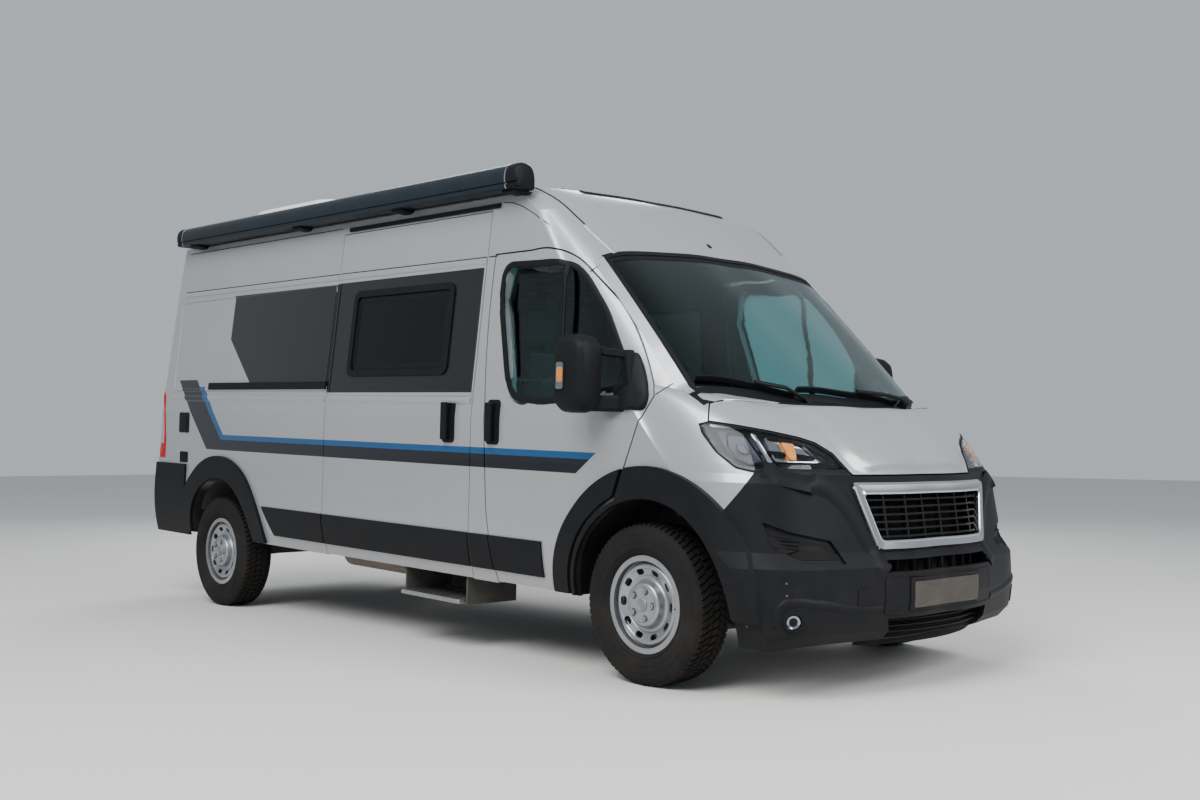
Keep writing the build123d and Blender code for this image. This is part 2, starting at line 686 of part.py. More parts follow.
def knuckle():
    """Steering knuckle with its stub axle, lower ball pin and the strut tube that turns with it."""
    x, z = FRONT_AXLE_X, BODY_HUB_Z
    carrier = rod((x, -850, z), (x, -786, z), 58)
    stub = rod((x, -FRONT_WHEEL_Y - 78, z), (x, -840, z), STUB_R)
    lower = rod((x, -812, z - 40), kingpin(262), 24)
    pin = rod(kingpin(268), kingpin(196), BALL_PIN_R)
    upper = rod((x, -800, z + 36), kingpin(470), 27)
    tube = rod(kingpin(440), kingpin(SPRING_SEAT_Z), STRUT_R)
    seat = rod(kingpin(SPRING_SEAT_Z - 8), kingpin(SPRING_SEAT_Z), 68)
    return join(carrier, stub, lower, pin, upper, tube, seat)


def front_suspension():
    """Subframe, lower arms, strut tops with their springs, and the two front rails that carry them."""
    x = FRONT_AXLE_X
    boss = rod(kingpin(204), kingpin(240), 27)
    leg_front = rod((x, -790, 222), (x + 150, -440, 240), 19)
    leg_rear = rod((x, -790, 222), (x - 150, -440, 240), 19)
    arm = cut(join(boss, leg_front, leg_rear), rod(kingpin(190), kingpin(260), BALL_PIN_R + PIN_GAP))
    spring = ring(kingpin(SPRING_SEAT_Z + 8), kingpin(950), 62, 50)
    damper = rod(kingpin(SPRING_SEAT_Z + 8), kingpin(1000), 11)
    top = rod(kingpin(944), kingpin(972), 78)
    tower = block(x - 90, x + 90, -700, -470, 966, 990)
    upright = block(x - 90, x + 90, -520, -470, 560, 990)
    rail = block(1640, 2830, -545, -470, 560, 640)
    hanger = block(x + 120, x + 180, -520, -430, 225, 600)
    hanger_rear = block(x - 180, x - 120, -520, -430, 225, 600)
    half = join(arm, spring, damper, top, tower, upright, rail, hanger, hanger_rear)
    cross = block(x - 190, x + 190, -470, 470, 225, 262)
    bar = block(2770, 2830, -560, 560, 500, 640)
    y, z = TOW_THREAD
    socket = join(rod((2770, y, z), (2850, y, z), 22), block(2770, 2830, y - 17, y + 17, z - 10, 520))
    whole = join(half, mirrored(half), cross, bar, socket)
    return cut(whole, rod((2790, y, z), (2860, y, z), TOW_THREAD_R))


def rear_suspension():
    """Dead axle beam on two leaf springs, with its stub axles and dampers."""
    x, z = REAR_AXLE_X, REAR_HUB_Z
    beam = rod((x, -740, z), (x, 740, z), 38)
    spring = side_prism(-534, -466, (x - 690, 394), (x, z - 12 + 38, x + 690, 394), (x + 690, 372),
                        (x, z - 12 + 14, x - 690, 372))
    shackles = [block(x + end * 690 - 24, x + end * 690 + 24, -530, -470, 366, RAIL_Z[0]) for end in (-1, 1)]
    stub = rod((x, -REAR_WHEEL_Y - 78, z), (x, -700, z), STUB_R)
    plate = rod((x, -800, z), (x, -775, z), 110)
    damper = rod((x + 60, -640, z + 10), (x + 125, -640, FLOOR_TOP_Z - FLOOR_THICK - 8), 24)
    mount = block(x + 20, x + 90, -665, -615, z - 30, z + 40)
    half = join(spring, *shackles, stub, plate, damper, mount)
    return join(beam, half, mirrored(half))


def floor_pan():
    """Load floor with its rails, cross members, sills, rear wheel tubs and the toe board of the cab."""
    low = FLOOR_TOP_Z - FLOOR_THICK
    slab = join(common(envelope(WALL), block(-2890, 835, -FAR, FAR, low, FLOOR_TOP_Z)),
                block(800, 1560, -CAB_HALF, CAB_HALF, low, FLOOR_TOP_Z))
    x, z, radius = REAR_ARCH
    tub = cut(rod((x, -FAR, z), (x, -735, z), radius + 10), rod((x, -FAR, z), (x, -747, z), radius))
    tub = common(common(envelope(WALL), tub), block(-3000, 0, -FAR, 0, low, 1200))
    opening = rod((x, -FAR, z), (x, -747, z), radius)
    sill = block(-1440, 1500, -895, -820, SILL_Z + 5, low)
    rail = block(-2860, FRONT_AXLE_X - 180, -RAIL_Y[1], -RAIL_Y[0], *RAIL_Z)
    toe = side_prism(-CAB_HALF, CAB_HALF, (1540, low), (1600, 760), (1880, 850), (1935, 1010), (2130, 1225),
                     (2112, 1240), (1918, 1022), (1866, 868), (1585, 782), (1520, FLOOR_TOP_Z - 10))
    members = [block(member, member + 60, -830, 830, 440, low) for member in CROSS_MEMBERS]
    tail = block(-2890, -2830, -REAR_DOOR_HALF, REAR_DOOR_HALF, SILL_Z + 10, low)
    x, y, z = TOW_EYE
    eye = join(rod((x, y - 12, z), (x, y + 12, z), 36), block(x, -2850, y - 12, y + 12, z - 18, 370))
    half = join(sill, rail)
    pan = join(slab, half, mirrored(half), *members, tail, eye)
    pan = cut(pan, opening, mirrored(opening), rod((x, y - 20, z), (x, y + 20, z), TOW_EYE_R))
    above = block(-3000, 3000, -FAR, FAR, FLOOR_TOP_Z, 2000)
    return pan, both_sides(common(tub, above)), cut(toe, pan)


def arch_liners():
    """Curved liners over the front wheels, just inside the wings."""
    x, z, radius = FRONT_ARCH
    shell = ring((x, -985, z), (x, -745, z), radius + 8, radius)
    return both_sides(common(envelope(SHEET + 2), common(shell, block(1500, 2700, -FAR, 0, z, 1000))))


def underfloor():
    """Fuel and waste tanks, and the exhaust pipe with its silencer."""
    tanks = group(rounded_block(-1240, -640, -440, 440, 285, 440, 30), rounded_block(280, 980, -440, 440, 290, 440, 30))
    run = ((1700, -250, 330), (1050, -530, 330), (60, -548, 330), (-150, -680, 330))
    pipes = [rod(start, end, 27) for start, end in zip(run, run[1:])]
    balls = [Solid.make_sphere(27, Plane(origin=place)) for place in run[1:-1]]
    silencer = rod((-150, -680, 330), (-800, -680, 330), 85)
    tail = rod((-790, -680, 330), (-1360, -640, 300), 27)
    return tanks, join(*pipes, *balls, silencer, tail)


def entrance_step():
    """A slide-out tread between two cheeks that hang from the sill."""
    low, high = STEP_X
    top = SILL_Z + 5
    tread = rounded_block(low + 8, high - 8, -1000, -660, *STEP_Z, 8)
    cheeks = [block(x, x + 12, -955, -620, STEP_Z[0] - 6, top - 8) for x in (low - 12, high)]
    back = block(low - 12, high + 12, -640, -620, STEP_Z[0] - 6, top - 8)
    roof = block(low - 12, high + 12, -895, -620, top - 14, top)
    return tread, join(*cheeks, back, roof)


# Cab and living space


def along_column(distance):
    return tuple(WHEEL_CENTRE + COLUMN * distance)


def steering_wheel():
    plane = Plane(origin=WHEEL_CENTRE, x_dir=(0, 1, 0), z_dir=COLUMN)
    rim = Solid.make_torus(190, 15, plane)
    hub = rod(along_column(-35), along_column(12), 62)
    spokes = []
    for angle in (0, 180, 270):
        reach = plane.x_dir * math.cos(math.radians(angle)) + plane.y_dir * math.sin(math.radians(angle))
        spokes.append(rod(along_column(-6), tuple(Vector(*along_column(-4)) + reach * 186), 13))
    return join(rim, hub, *spokes)


def dashboard():
    form = side_prism(-CAB_HALF, CAB_HALF, (1612, 815), (1570, 900, 1600, 1060), (1640, 1150, 1760, 1195),
                      (2165, 1250), (2105, 1244), (1905, 1030), (1855, 885))
    column = rod(along_column(-42), along_column(-330), 40)
    shroud = side_prism(SEAT_Y - 60, SEAT_Y + 60, (1385, 1075), (1420, 1110), (1640, 1120), (1660, 860), (1500, 830))
    console = side_prism(-130, 130, (1430, FLOOR_TOP_Z), (1512, FLOOR_TOP_Z), (1572, 790), (1630, 816), (1640, 900),
                         (1450, 900))
    binnacle = side_prism(SEAT_Y - 170, SEAT_Y + 170, (1600, 1060), (1560, 1180), (1600, 1235), (1780, 1215),
                          (1780, 1180))
    return join(form, column, shroud, console, binnacle)


def cab_seats():
    """Swivel cab seats: pedestals with their shells, and apart from them the cushions, backs and head rests."""
    shells = []
    cushions = []
    for y in (-SEAT_Y, SEAT_Y):
        pedestal = block(800, 1100, y - 160, y + 160, FLOOR_TOP_Z, 790)
        pan = block(700, 1170, y - 230, y + 230, 780, 800)
        back_shell = side_prism(y - 215, y + 215, (690, 790), (720, 790), (600, 1560), (575, 1560), (660, 800))
        posts = [rod((592, y + side * 60, 1550), (592, y + side * 60, 1600), 8) for side in (-1, 1)]
        shells.append(join(pedestal, pan, back_shell, *posts))
        cushions.append(rounded_block(745, 1190, y - 245, y + 245, 800, 930, 40))
        back = side_prism(y - 225, y + 225, (722, 940), (830, 930), (715, 1530, 690, 1560), (604, 1560))
        cushions.append(back)
        cushions.append(rounded_block(545, 645, y - 140, y + 140, 1600, 1790, 35))
    return join(*shells), group(*cushions)

BOARDS = (
    # node, forward from, to, across from, to, up from, to
    ("kitchen_unit", -620, -20, -930, -480, FLOOR_TOP_Z, 1390),
    ("kitchen_unit", -630, -10, -930, -465, 1390, 1420),
    ("washroom", -1000, -300, 420, 840, FLOOR_TOP_Z, 2300),
    ("bed_base", -2790, -1090, -880, 880, 860, 890),
    ("bed_base", -1110, -1090, -880, 880, FLOOR_TOP_Z, 870),
    ("bed_base", -2780, -1100, -309, -291, FLOOR_TOP_Z, 870),
    ("bed_base", -2780, -1100, 291, 309, FLOOR_TOP_Z, 870),
    ("dinette_bench", -220, 380, 330, 900, FLOOR_TOP_Z, 930),
    ("dinette_bench", -240, -220, 330, 880, FLOOR_TOP_Z, 1620),
)
SINK = (-540, -180, -830, -560, 1300, 1500, 30)
WASHROOM_DOOR = (-1010, -290, 410, 430, 700, 2200)
MATTRESS = (-2790, -1090, -890, 890, 890, 1020, 45)
LOCKER_X = (-2730, -1040)
LOCKER = ((-560, 2280), (-560, 2020), (-620, 1960), (-876, 1960), (-836, 2280))
CUSHION_ROUNDING = 30
BENCH_CUSHIONS = ((-200, 380, 335, 895, 930, 1050), (-218, -110, 340, 870, 1055, 1600))


def furniture():
    """Kitchen, washroom, rear bed with its mattress, roof lockers and the bench behind the driver."""
    pieces = {}
    for node in ("kitchen_unit", "washroom", "bed_base", "dinette_bench"):
        pieces[node] = join(*[block(*sizes) for owner, *sizes in BOARDS if owner == node])
    pieces["kitchen_unit"] = cut(pieces["kitchen_unit"], rounded_block(*SINK))
    pieces["washroom"] = cut(pieces["washroom"], block(*WASHROOM_DOOR))
    pieces["mattress"] = rounded_block(*MATTRESS)
    pieces["roof_lockers"] = both_sides(front_prism(*LOCKER_X, *LOCKER))
    return pieces


def bench_cushions():
    return group(*[rounded_block(*sizes, CUSHION_ROUNDING) for sizes in BENCH_CUSHIONS])


# Roof equipment and lamps


def awning():
    """Awning cassette with its end caps, seated along the roof's edge."""
    low, high = AWNING_X
    caps = [front_prism(x, x + AWNING_CAP_WIDTH, *AWNING_CAP) for x in (low, high - AWNING_CAP_WIDTH)]
    return cut(join(front_prism(low, high, *AWNING), *caps), outer)


def on_roof(low_x, high_x, half_y, height, rounding):
    body = rounded_block(low_x, high_x, -half_y, half_y, ROOF_Z - 60, ROOF_Z + height, rounding)
    return cut(body, outer)


def roof_unit():
    """A rooftop cooling unit: a low domed cover on a square foot."""
    foot = on_roof(-2620, -2000, 270, 26, 6)
    lower = rounded_block(-2690, -1930, -310, 310, ROOF_Z + 20, ROOF_Z + 190, 60)
    crown = rounded_block(-2620, -2000, -240, 240, ROOF_Z + 120, ROOF_Z + 250, 58)
    return join(foot, lower, crown)


def headlamps():
    """Clear lens flush with the wing, and the lamp body behind it."""
    lens = between(0, 5, lamp_prism)
    body = between(30, 80, corner_prism((1185, 1172), *LAMP_TOP[1:-1], (1800, 990), *LAMP_LOW[1:-1], inset=3))
    return lens, body


def fog_lamp():
    x, z, radius = 1592.0, 359.0, 34.0
    turn = radius * math.sqrt(0.5)
    outline = ((x - radius, z), (x - turn, z - turn, x, z - radius), (x + turn, z - turn, x + radius, z),
               (x + turn, z + turn, x, z + radius), (x - turn, z + turn, x - radius, z))
    return between(6, 45, corner_prism(*outline))


def grille():
    """Chrome surround seated in the bumper, and the bars behind it."""
    opening = front_prism(2700, 3100, *GRILLE)
    inner = front_prism(2700, 3100, *GRILLE_INNER)
    surround = cut(between(-6, SHEET, opening), inner)
    slats = [block(2700, 3100, -480, 480, 696 + 32 * row, 704 + 32 * row) for row in range(6)]
    uprights = [block(2700, 3100, y - 5, y + 5, 680, 890) for y in (-340, -204, -68, 68, 204, 340)]
    bars = between(SHEET - 15, SHEET + 10, common(inner, join(*slats, *uprights)))
    return surround, bars


def rear_bumper():
    side = proud(BUMPER_PROUD, side_prism(-FAR, -830, (-3100, 318), (-2447, 318), (-2447, 815), (-3100, 815)))
    low = proud(BUMPER_PROUD, block(-3100, -2700, -831, 0, 318, 541))
    skin = common(sheet_shell, block(-3100, -2700, -REAR_DOOR_HALF, 0, 318, 541))
    half = join(side, low, skin)
    return join(half, mirrored(half))

SOLAR_PANEL = (-150, 850, 480, 42, 6)
RAIL = (-2164, -664, -FAR, -800, 1336, 1382)
RAIL_PROUD = 14.0
RAIN_STRIP = (-590, 850, -FAR, -800, SLIDING_TOP_Z + 10, SLIDING_TOP_Z + 34)
RAIN_STRIP_PROUD = 12.0
FRONT_HANDLE = (968, 1163)
SLIDING_HANDLE = (591, 1163)
ENGINE = (2170, 2680, -380, 330, 430, 960, 40)
HUBS = (
    # end, forward, across, up
    ("front", FRONT_AXLE_X, FRONT_WHEEL_Y, BODY_HUB_Z),
    ("rear", REAR_AXLE_X, REAR_WHEEL_Y, REAR_HUB_Z),
)
SLIVER = 1000.0


def trim_nodes():
    nodes = {}
    flares, door_flare, door_strip, strips = trim_pieces()
    nodes["arch_flares"] = group(both_sides(flares), arch_liners())
    door_trim = group(door_flare, door_strip, handle(*FRONT_HANDLE), door_mirror())
    nodes["front_door_right_trim"] = door_trim
    nodes["front_door_left_trim"] = mirrored(door_trim)
    left_bar = cut(strip_bar(-1380, 1000, 130), side_prism(*RIGHT_PROUD, *FRONT_DOOR))
    rails = [proud(RAIL_PROUD, block(*RAIL)), proud(RAIN_STRIP_PROUD, block(*RAIN_STRIP))]
    nodes["side_trim"] = group(strips, mirrored(proud(STRIP_PROUD, left_bar)), *rails,
                               handle(*SLIDING_HANDLE))
    nodes["side_window_frames"], nodes["side_windows"] = side_windows()
    nodes["rear_bumper"] = rear_bumper()
    return nodes


def lamp_nodes():
    nodes = {}
    lens, lamp_body = headlamps()
    nodes["tail_lamps"] = both_sides(between(-4, 30, tail_lamp_region))
    nodes["headlamp_lenses"] = both_sides(lens)
    nodes["front_lamps"] = both_sides(group(lamp_body, fog_lamp()))
    nodes["grille_surround"], nodes["grille_bars"] = grille()
    return nodes


def chassis_nodes():
    nodes = {}
    tyre_shape = tyre()
    wheel_shape = road_wheel()
    for end, x, y, z in HUBS:
        for side, sign in (("right", -1), ("left", 1)):
            nodes[f"tyre_{end}_{side}"] = placed(tyre_shape, x, sign * y, z)
            nodes[f"wheel_{end}_{side}"] = placed(wheel_shape, x, sign * y, z)
    nodes["knuckle_right"] = knuckle()
    nodes["knuckle_left"] = mirrored(nodes["knuckle_right"])
    nodes["front_suspension"] = front_suspension()
    nodes["rear_suspension"] = rear_suspension()
    nodes["engine_block"] = rounded_block(*ENGINE)
    nodes["underfloor_tanks"], nodes["exhaust"] = underfloor()
    nodes["entrance_step"], step_housing = entrance_step()
    pan, tubs, toe_board = floor_pan()
    nodes["floor_pan"] = group(join(pan, step_housing), tubs, toe_board)
    return nodes


def inside_nodes():
    nodes = {"dashboard": dashboard(), "steering_wheel": steering_wheel()}
    nodes["cab_seats"], cab_cushions = cab_seats()
    nodes["seat_cushions"] = group(cab_cushions, bench_cushions())
    nodes.update(furniture())
    return nodes


def roof_nodes():
    return {"awning": awning(), "roof_unit": roof_unit(), "solar_panel": on_roof(*SOLAR_PANEL)}


def tipped(shape):
    """A shape of the level body set down on its wheels, nose down by the stance, without boolean slivers."""
    settle = Location((FRONT_AXLE_X - CENTRE_SHIFT, 0, TYRE_R), (0, STANCE, 0))
    settle = settle * Location((-FRONT_AXLE_X, 0, -BODY_HUB_Z))
    return Compound([solid.moved(settle) for solid in solids_in(shape) if solid.volume > SLIVER])


for make in (hull_panels, nose_panels, trim_nodes, lamp_nodes, chassis_nodes, inside_nodes, roof_nodes):
    for name, shape in make().items():
        export_step(tipped(shape), f"parts/{name}.step")
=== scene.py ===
import json
import math

import bmesh
import bpy
from mathutils import Matrix, Vector
from mathutils.bvhtree import BVHTree


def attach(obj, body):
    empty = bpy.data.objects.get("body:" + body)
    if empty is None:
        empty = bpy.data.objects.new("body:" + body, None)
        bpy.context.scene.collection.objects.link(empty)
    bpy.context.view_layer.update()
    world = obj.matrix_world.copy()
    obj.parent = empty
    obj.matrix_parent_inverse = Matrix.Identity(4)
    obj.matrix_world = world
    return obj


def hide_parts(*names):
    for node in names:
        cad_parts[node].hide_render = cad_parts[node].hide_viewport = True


# The van's looks around its CAD frame. Lengths are in metres. Shapes are drawn in the level body, as it was
# designed: +X forward, +Y left, +Z up. SETTLE sets the level body down on its four tyres.

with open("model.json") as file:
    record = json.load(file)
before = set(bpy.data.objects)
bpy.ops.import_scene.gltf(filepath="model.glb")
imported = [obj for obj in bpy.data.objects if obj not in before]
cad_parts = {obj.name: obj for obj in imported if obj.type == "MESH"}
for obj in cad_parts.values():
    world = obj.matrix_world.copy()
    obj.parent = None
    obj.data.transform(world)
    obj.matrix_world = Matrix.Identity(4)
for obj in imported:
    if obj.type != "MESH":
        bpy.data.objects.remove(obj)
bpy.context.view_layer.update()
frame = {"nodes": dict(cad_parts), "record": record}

# Level body and stance
WHEELBASE = 4.035
FRONT_AXLE_X = 2.051
BODY_HUB_Z = 0.354
REAR_HUB_DROP = 0.109
TYRE_R = 0.366
CENTRE_SHIFT = 0.0045
STANCE = math.asin(REAR_HUB_DROP / WHEELBASE)
REAR_AXLE_X = FRONT_AXLE_X - WHEELBASE * math.cos(STANCE)
REAR_HUB_Z = BODY_HUB_Z - REAR_HUB_DROP
SETTLE = (
    Matrix.Translation((FRONT_AXLE_X - CENTRE_SHIFT, 0, TYRE_R))
    @ Matrix.Rotation(STANCE, 4, "Y")
    @ Matrix.Translation((-FRONT_AXLE_X, 0, -BODY_HUB_Z))
)
LEVEL = SETTLE.inverted()

# Bodies of the frame that carry most pieces
VAN = "van_body"
RIGHT_DOOR = "right_front_door"


# Node graphs

def runs(outline):
    """Each corner of a closed outline, with the next one."""
    return zip(outline, outline[1:] + outline[:1])


# How far a face turns inward or down, and above which height, to show the lining
INWARD = -0.25
OVERHEAD = -0.6
LINED_Z = 1.0


class Shader:
    """A material's node graph on a Principled surface, with short calls for the nodes that finishes share."""

    def __init__(self, name, **settings):
        self.material = bpy.data.materials.new(name)
        self.material.use_nodes = True
        self.tree = self.material.node_tree
        self.surface = self.tree.nodes["Principled BSDF"]
        for key, value in settings.items():
            self.surface.inputs[key.replace("_", " ")].default_value = value

    def node(self, kind, inputs=(), **settings):
        made = self.tree.nodes.new("ShaderNode" + kind)
        for key, value in settings.items():
            setattr(made, key, value)
        for key, value in dict(inputs).items():
            self.feed(made.inputs[key], value)
        return made

    def feed(self, socket, value):
        if isinstance(value, bpy.types.NodeSocket):
            self.tree.links.new(value, socket)
        else:
            socket.default_value = value

    def set(self, name, value):
        self.feed(self.surface.inputs[name], value)
        return self

    def math(self, operation, a, b=0.0, clamp=False):
        return self.node("Math", {0: a, 1: b}, operation=operation, use_clamp=clamp).outputs[0]

    def place(self):
        """Where a point lies on the level body: the vector and its three parts."""
        if not hasattr(self, "level_place"):
            where = self.node("TexCoord").outputs["Object"]
            level = self.node("Mapping", {"Vector": where, "Location": LEVEL.translation,
                                          "Rotation": LEVEL.to_euler()})
            parts = self.node("SeparateXYZ", {0: level.outputs[0]})
            self.level_place = (level.outputs[0], *parts.outputs)
        return self.level_place

    def inward(self):
        """1 on faces that look into the cab and the living space, else 0."""
        facing = self.node("SeparateXYZ", {0: self.node("TexCoord").outputs["Normal"]}).outputs
        y = self.place()[2]
        sides = self.math("LESS_THAN", self.math("MULTIPLY", facing[1], y), INWARD)
        over = self.math("LESS_THAN", facing[2], OVERHEAD)
        return self.math("MAXIMUM", sides, self.math("MULTIPLY", over, self.above(self.place()[3], LINED_Z)))

    def noise(self, scale, detail=3.0, roughness=0.55, stretch=None):
        vector = self.place()[0]
        if stretch is not None:
            vector = self.node("Mapping", {"Vector": vector, "Scale": stretch}).outputs[0]
        return self.node("TexNoise", {"Vector": vector, "Scale": scale, "Detail": detail,
                                      "Roughness": roughness}).outputs["Fac"]

    def ramp(self, value, low, high, from_low=0.0, from_high=1.0):
        """A clamped straight ramp of a value."""
        return self.node("MapRange", {"Value": value, "From Min": low, "From Max": high, "To Min": from_low,
                                      "To Max": from_high}).outputs[0]

    def mix(self, share, a, b):
        made = self.node("Mix", data_type="RGBA")
        for socket, value in ((made.inputs[0], share), (made.inputs[6], a), (made.inputs[7], b)):
            self.feed(socket, value if not isinstance(value, tuple) or len(value) == 4 else (*value, 1.0))
        return made.outputs[2]

    def bump(self, height, strength, distance):
        made = self.node("Bump", {"Height": height, "Strength": strength, "Distance": distance})
        return self.set("Normal", made.outputs[0])

    def above(self, value, limit):
        return self.math("GREATER_THAN", value, limit)

    def inside(self, x, z, corners):
        """1 inside a convex outline given counter-clockwise in x and z, else 0."""
        mask = None
        for (x0, z0), (x1, z1) in runs(corners):
            across_x, across_z = z0 - z1, x1 - x0
            along = self.math("MULTIPLY_ADD", x, across_x)
            along.node.inputs[2].default_value = -(across_x * x0 + across_z * z0)
            side = self.math("MULTIPLY_ADD", z, across_z)
            self.feed(side.node.inputs[2], along)
            step = self.above(side, 0.0)
            mask = step if mask is None else self.math("MULTIPLY", mask, step)
        return mask


DUST = (0.33, 0.27, 0.2)


def shade(colour, share):
    return tuple(c * share for c in colour)


def dusty(shader, colour, low=0.25, high=1.1, most=0.5, roughness=None):
    """Road dust that thins out with height, over a colour; also dulls the gloss."""
    z = shader.place()[3]
    height = shader.ramp(z, low, high, most, 0.0)
    patches = shader.ramp(shader.noise(5.0, 6.0, 0.65), 0.3, 0.75)
    fine = shader.ramp(shader.noise(60.0, 3.0), 0.25, 0.8, 0.6, 1.0)
    share = shader.math("MULTIPLY", shader.math("MULTIPLY", height, patches), fine)
    shader.set("Base Color", shader.mix(share, colour, DUST))
    if roughness is not None:
        shader.set("Roughness", shader.ramp(share, 0.0, 0.4, roughness, min(1.0, roughness + 0.4)))
    return share


# Livery, in the side view
SILVER = (0.355, 0.363, 0.375)
CHARCOAL = (0.01, 0.012, 0.016)
BLUE = (0.008, 0.08, 0.215)
DECAL = (0.01, 0.0095, 0.009)
LIVERY = (
    # paint, outline counter-clockwise in the side view; later ones lie over earlier ones
    (CHARCOAL, ((-2.155, 0.928), (1.605, 0.928), (1.745, 1.031), (-1.922, 1.031))),
    (CHARCOAL, ((-2.155, 0.928), (-1.94, 0.985), (-2.363, 1.404), (-2.635, 1.404))),
    (BLUE, ((-1.955, 0.998), (1.7, 0.998), (1.745, 1.031), (-1.922, 1.031))),
    (BLUE, ((-1.955, 0.998), (-1.922, 1.031), (-2.241, 1.356), (-2.316, 1.356))),
    (DECAL, ((-1.59, 1.355), (-0.65, 1.355), (-0.65, 1.972), (-1.945, 1.972), (-1.946, 1.676))),
    (DECAL, ((-0.66, 1.315), (0.77, 1.315), (0.77, 1.977), (-0.66, 1.977))),
)
ARCHES = (
    # forward, up, radius
    (2.085, 0.345, 0.49),
    (-1.96, 0.3, 0.44),
)
# The arches' dark paint reaches a little past their radius, and the livery shows only this far out
ARCH_LIP = 0.005
SIDE_Y = 0.9
UNDERSIDE = (0.02, 0.02, 0.02)
LINING = (0.06, 0.06, 0.062)


def body_paint():
    """Pale silver-grey paint with the side stripe, its blue edge and the dark window band."""
    shader = Shader("body_paint", Metallic=0.4, Specular_IOR_Level=0.2, Coat_Weight=0.5, Coat_Roughness=0.05)
    _, x, y, z = shader.place()
    side = shader.above(shader.math("ABSOLUTE", y), SIDE_Y)
    grain = shader.ramp(shader.noise(2.2, 2.0), 0.3, 0.7)
    colour = shader.mix(grain, SILVER, shade(SILVER, 0.965))
    for paint, outline in LIVERY:
        mask = shader.inside(x, z, outline)
        colour = shader.mix(shader.math("MULTIPLY", mask, side), colour, paint)
    for arch_x, arch_z, radius in ARCHES:
        reach = shader.math("POWER", shader.math("SUBTRACT", x, arch_x), 2.0)
        rise = shader.math("POWER", shader.math("SUBTRACT", z, arch_z), 2.0)
        within = shader.math("LESS_THAN", shader.math("ADD", reach, rise), (radius + ARCH_LIP) ** 2)
        colour = shader.mix(within, colour, UNDERSIDE)
    colour = shader.mix(shader.inward(), colour, LINING)
    dusty(shader, colour, 0.3, 0.95, 0.25, 0.3)
    shader.bump(shader.noise(900.0, 1.0), 0.03, 0.0004)
    return shader.material


def plastic(name, colour, roughness, grain=700.0, dust=0.55, strength=0.25):
    shader = Shader(name, Specular_IOR_Level=0.1)
    tint = shader.mix(shader.ramp(shader.noise(9.0, 4.0), 0.3, 0.7), colour, shade(colour, 1.25))
    dusty(shader, tint, 0.2, 1.0, dust, roughness)
    shader.bump(shader.noise(grain, 2.0), strength, 0.0005)
    return shader.material


def metal(name, colour, roughness, metallic=1.0, dust=0.4, grain=40.0):
    shader = Shader(name, Metallic=metallic)
    tint = shader.mix(shader.ramp(shader.noise(grain, 5.0), 0.3, 0.75), colour, shade(colour, 0.8))
    dusty(shader, tint, 0.1, 0.9, dust, roughness)
    shader.bump(shader.noise(grain * 12, 3.0), 0.12, 0.0006)
    return shader.material


def glass(name, colour, roughness=0.02, ior=1.45):
    shader = Shader(name, Transmission_Weight=1.0, IOR=ior)
    haze = shader.ramp(shader.noise(3.0, 5.0), 0.4, 0.9, 0.0, 0.05)
    shader.set("Base Color", shader.mix(haze, colour, DUST))
    shader.set("Roughness", shader.ramp(haze, 0.0, 0.05, roughness, roughness + 0.06))
    return shader.material


def fabric(name, colour, weave=900.0):
    shader = Shader(name, Roughness=0.95, Sheen_Weight=0.3)
    _, x, y, z = shader.place()
    across = shader.math("SINE", shader.math("MULTIPLY", shader.math("ADD", x, y), weave))
    along = shader.math("SINE", shader.math("MULTIPLY", shader.math("SUBTRACT", z, y), weave))
    threads = shader.math("MULTIPLY", across, along)
    worn = shader.ramp(shader.noise(7.0, 4.0), 0.3, 0.7)
    shader.set("Base Color", shader.mix(worn, colour, shade(colour, 0.75)))
    shader.bump(threads, 0.1, 0.0003)
    return shader.material


def wood(name, colour):
    shader = Shader(name, Roughness=0.45)
    rings = shader.noise(6.0, 6.0, 0.6, (1.0, 1.0, 12.0))
    shader.set("Base Color", shader.mix(shader.ramp(rings, 0.35, 0.65), colour, shade(colour, 0.7)))
    shader.bump(rings, 0.1, 0.0005)
    return shader.material


